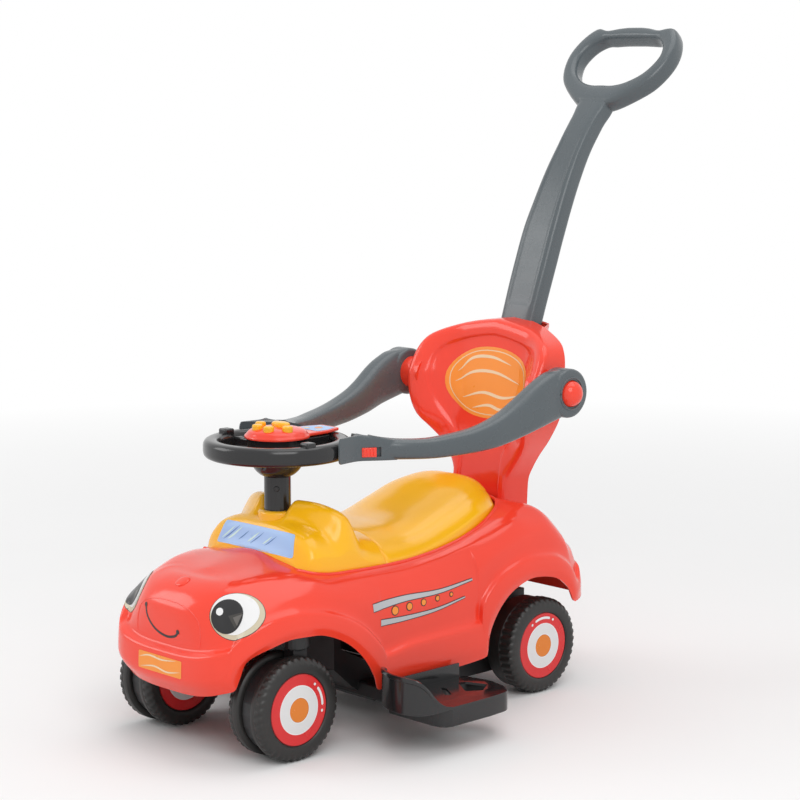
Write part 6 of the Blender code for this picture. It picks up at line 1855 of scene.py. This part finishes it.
class PUSHCAR_OT_finishes(bpy.types.Operator):
    """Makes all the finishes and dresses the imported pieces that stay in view"""
    bl_idname = "pushcar.finishes"
    bl_label = "Finishes"

    def execute(self, context):
        looks = context.scene.push_car_looks
        for finish, (name, setting, *skin_values) in MOULDED.items():
            FINISHES[finish] = moulded(name, getattr(looks, setting), *skin_values)
        FINISHES["disc"] = printed_disc("printed_wheel_disc", looks)
        FINISHES["steel"] = drawn_steel("drawn_steel")
        for finish, (name, colour) in PRINTS_AND_SHEEN.items():
            FINISHES[finish] = printed(name, colour)
        FINISHES["print_orange"] = printed("orange_print", looks.sticker_orange)
        FINISHES["screen_blue"] = printed("sky_blue_print", looks.screen_blue)
        for finish, names in KEPT.items():
            for name in names:
                self.dress(NODES[name], FINISHES[finish])
        return {"FINISHED"}

    def dress(self, item, finish):
        """New finish, joined corners and a narrow rounded edge; the mesh itself stays."""
        item.data.materials.clear()
        item.data.materials.append(finish)
        weld = item.modifiers.new("joined corners", "WELD")
        weld.merge_threshold = 0.00001
        soft = item.modifiers.new("soft edges", "BEVEL")
        soft.width = 0.0006
        soft.segments = 2
        soft.limit_method = "ANGLE"
        soft.angle_limit = math.radians(38.0)
        soft.harden_normals = True


# Studio

CAMERA_PLACE = (2.1307, -2.0830, 0.8251)
CAMERA_TURNS = (81.54, 0.0, 46.16)
SENSOR_WIDTH = 36.0
LAMPS = (
    # name, place, height it is aimed at, size, share of the key lamp's power
    ("key_softbox", (2.6, -1.6, 2.7), 0.25, 2.2, 1.0),
    ("side_softbox", (-2.6, -2.2, 2.0), 0.25, 1.8, 0.55),
    ("top_softbox", (0.2, 0.6, 3.4), 0.20, 2.6, 0.60),
)


class PUSHCAR_OT_stage(bpy.types.Operator):
    """Sets up the floor, the lamps, the room light and the camera"""
    bl_idname = "pushcar.stage"
    bl_label = "Studio"

    def execute(self, context):
        stage = context.scene.push_car_stage
        self.ground(stage)
        self.room(context, stage)
        for name, place, aim, size, share in LAMPS:
            self.lamp(context, name, place, aim, size, stage.key * share)
        self.camera(context, stage)
        context.scene.view_settings.view_transform = "Standard"
        return {"FINISHED"}

    def ground(self, stage):
        """Round floor, far larger than the car."""
        floor = raw(loft_mesh([round_ring(r, 96, 0.0) for r in (0.01, 1.0, 3.0, 60.0)], caps=False))
        named(floor, "studio_floor", stage_finish("studio_paper", stage.floor))

    def room(self, context, stage):
        """Even light from all round; to the camera and in reflections the room is plain white."""
        world = bpy.data.worlds.new("studio_room")
        context.scene.world = world
        world.use_nodes = True
        tree = world.node_tree
        tree.nodes.clear()
        path = tree.nodes.new("ShaderNodeLightPath")
        seen = maths(tree, "ShaderNodeMath", "ADD", path.outputs["Is Camera Ray"],
                     path.outputs["Is Transmission Ray"])
        seen.use_clamp = True
        shiny = maths(tree, "ShaderNodeMath", "ADD", seen.outputs["Value"], path.outputs["Is Glossy Ray"])
        shiny.use_clamp = True
        mix = tree.nodes.new("ShaderNodeMixShader")
        node_link(tree, shiny.outputs["Value"], mix.inputs["Fac"])
        for socket, strength in ((mix.inputs[1], stage.sky), (mix.inputs[2], 1.0)):
            light = tree.nodes.new("ShaderNodeBackground")
            light.inputs["Color"].default_value = (1.0, 1.0, 1.0, 1.0)
            light.inputs["Strength"].default_value = strength
            node_link(tree, light.outputs["Background"], socket)
        output = tree.nodes.new("ShaderNodeOutputWorld")
        node_link(tree, mix.outputs["Shader"], output.inputs["Surface"])

    def lamp(self, context, name, place, aim, size, power):
        """A square softbox turned towards the car."""
        light = bpy.data.lights.new(name, "AREA")
        light.shape = "SQUARE"
        light.size = size
        light.energy = power
        item = bpy.data.objects.new(name, light)
        item.location = place
        away = Vector(place) - Vector((0.0, 0.0, aim))
        item.rotation_euler = away.to_track_quat("Z", "Y").to_euler()
        context.scene.collection.objects.link(item)

    def camera(self, context, stage):
        """The camera that took the photograph, as far as it can be told."""
        camera = bpy.data.cameras.new("photo_camera")
        camera.lens = stage.lens
        camera.sensor_width = SENSOR_WIDTH
        item = bpy.data.objects.new("photo_camera", camera)
        item.location = CAMERA_PLACE
        item.rotation_euler = [math.radians(turn) for turn in CAMERA_TURNS]
        context.scene.collection.objects.link(item)
        context.scene.camera = item


STEPS = (PUSHCAR_OT_finishes, PUSHCAR_OT_body, PUSHCAR_OT_dash, PUSHCAR_OT_seat, PUSHCAR_OT_wheels,
         PUSHCAR_OT_steering, PUSHCAR_OT_arms, PUSHCAR_OT_backrest, PUSHCAR_OT_handle,
         PUSHCAR_OT_footrests, PUSHCAR_OT_stickers, PUSHCAR_OT_stage)


class PUSHCAR_PT_panel(bpy.types.Panel):
    """Lists the car's pieces and settings in the sidebar"""
    bl_idname = "PUSHCAR_PT_panel"
    bl_label = "Push Car"
    bl_space_type = "VIEW_3D"
    bl_region_type = "UI"
    bl_category = "Push Car"

    def draw(self, context):
        for step in STEPS:
            self.layout.operator(step.bl_idname)
        for group in (context.scene.push_car_looks, context.scene.push_car_stage):
            box = self.layout.box()
            for name in group.bl_rna.properties.keys():
                if name not in ("rna_type", "name"):
                    box.prop(group, name)


CLASSES = (PushCarLooks, PushCarStage) + STEPS + (PUSHCAR_PT_panel,)


def register():
    """Adds the settings, the operators and the panel."""
    for item in CLASSES:
        bpy.utils.register_class(item)
    bpy.types.Scene.push_car_looks = PointerProperty(type=PushCarLooks)
    bpy.types.Scene.push_car_stage = PointerProperty(type=PushCarStage)


def unregister():
    """Takes them out again."""
    del bpy.types.Scene.push_car_stage
    del bpy.types.Scene.push_car_looks
    for item in reversed(CLASSES):
        bpy.utils.unregister_class(item)


def main():
    """Builds every piece and the studio."""
    register()
    for step in STEPS:
        group, name = step.bl_idname.split(".")
        getattr(getattr(bpy.ops, group), name)()


if __name__ == "__main__":
    main()
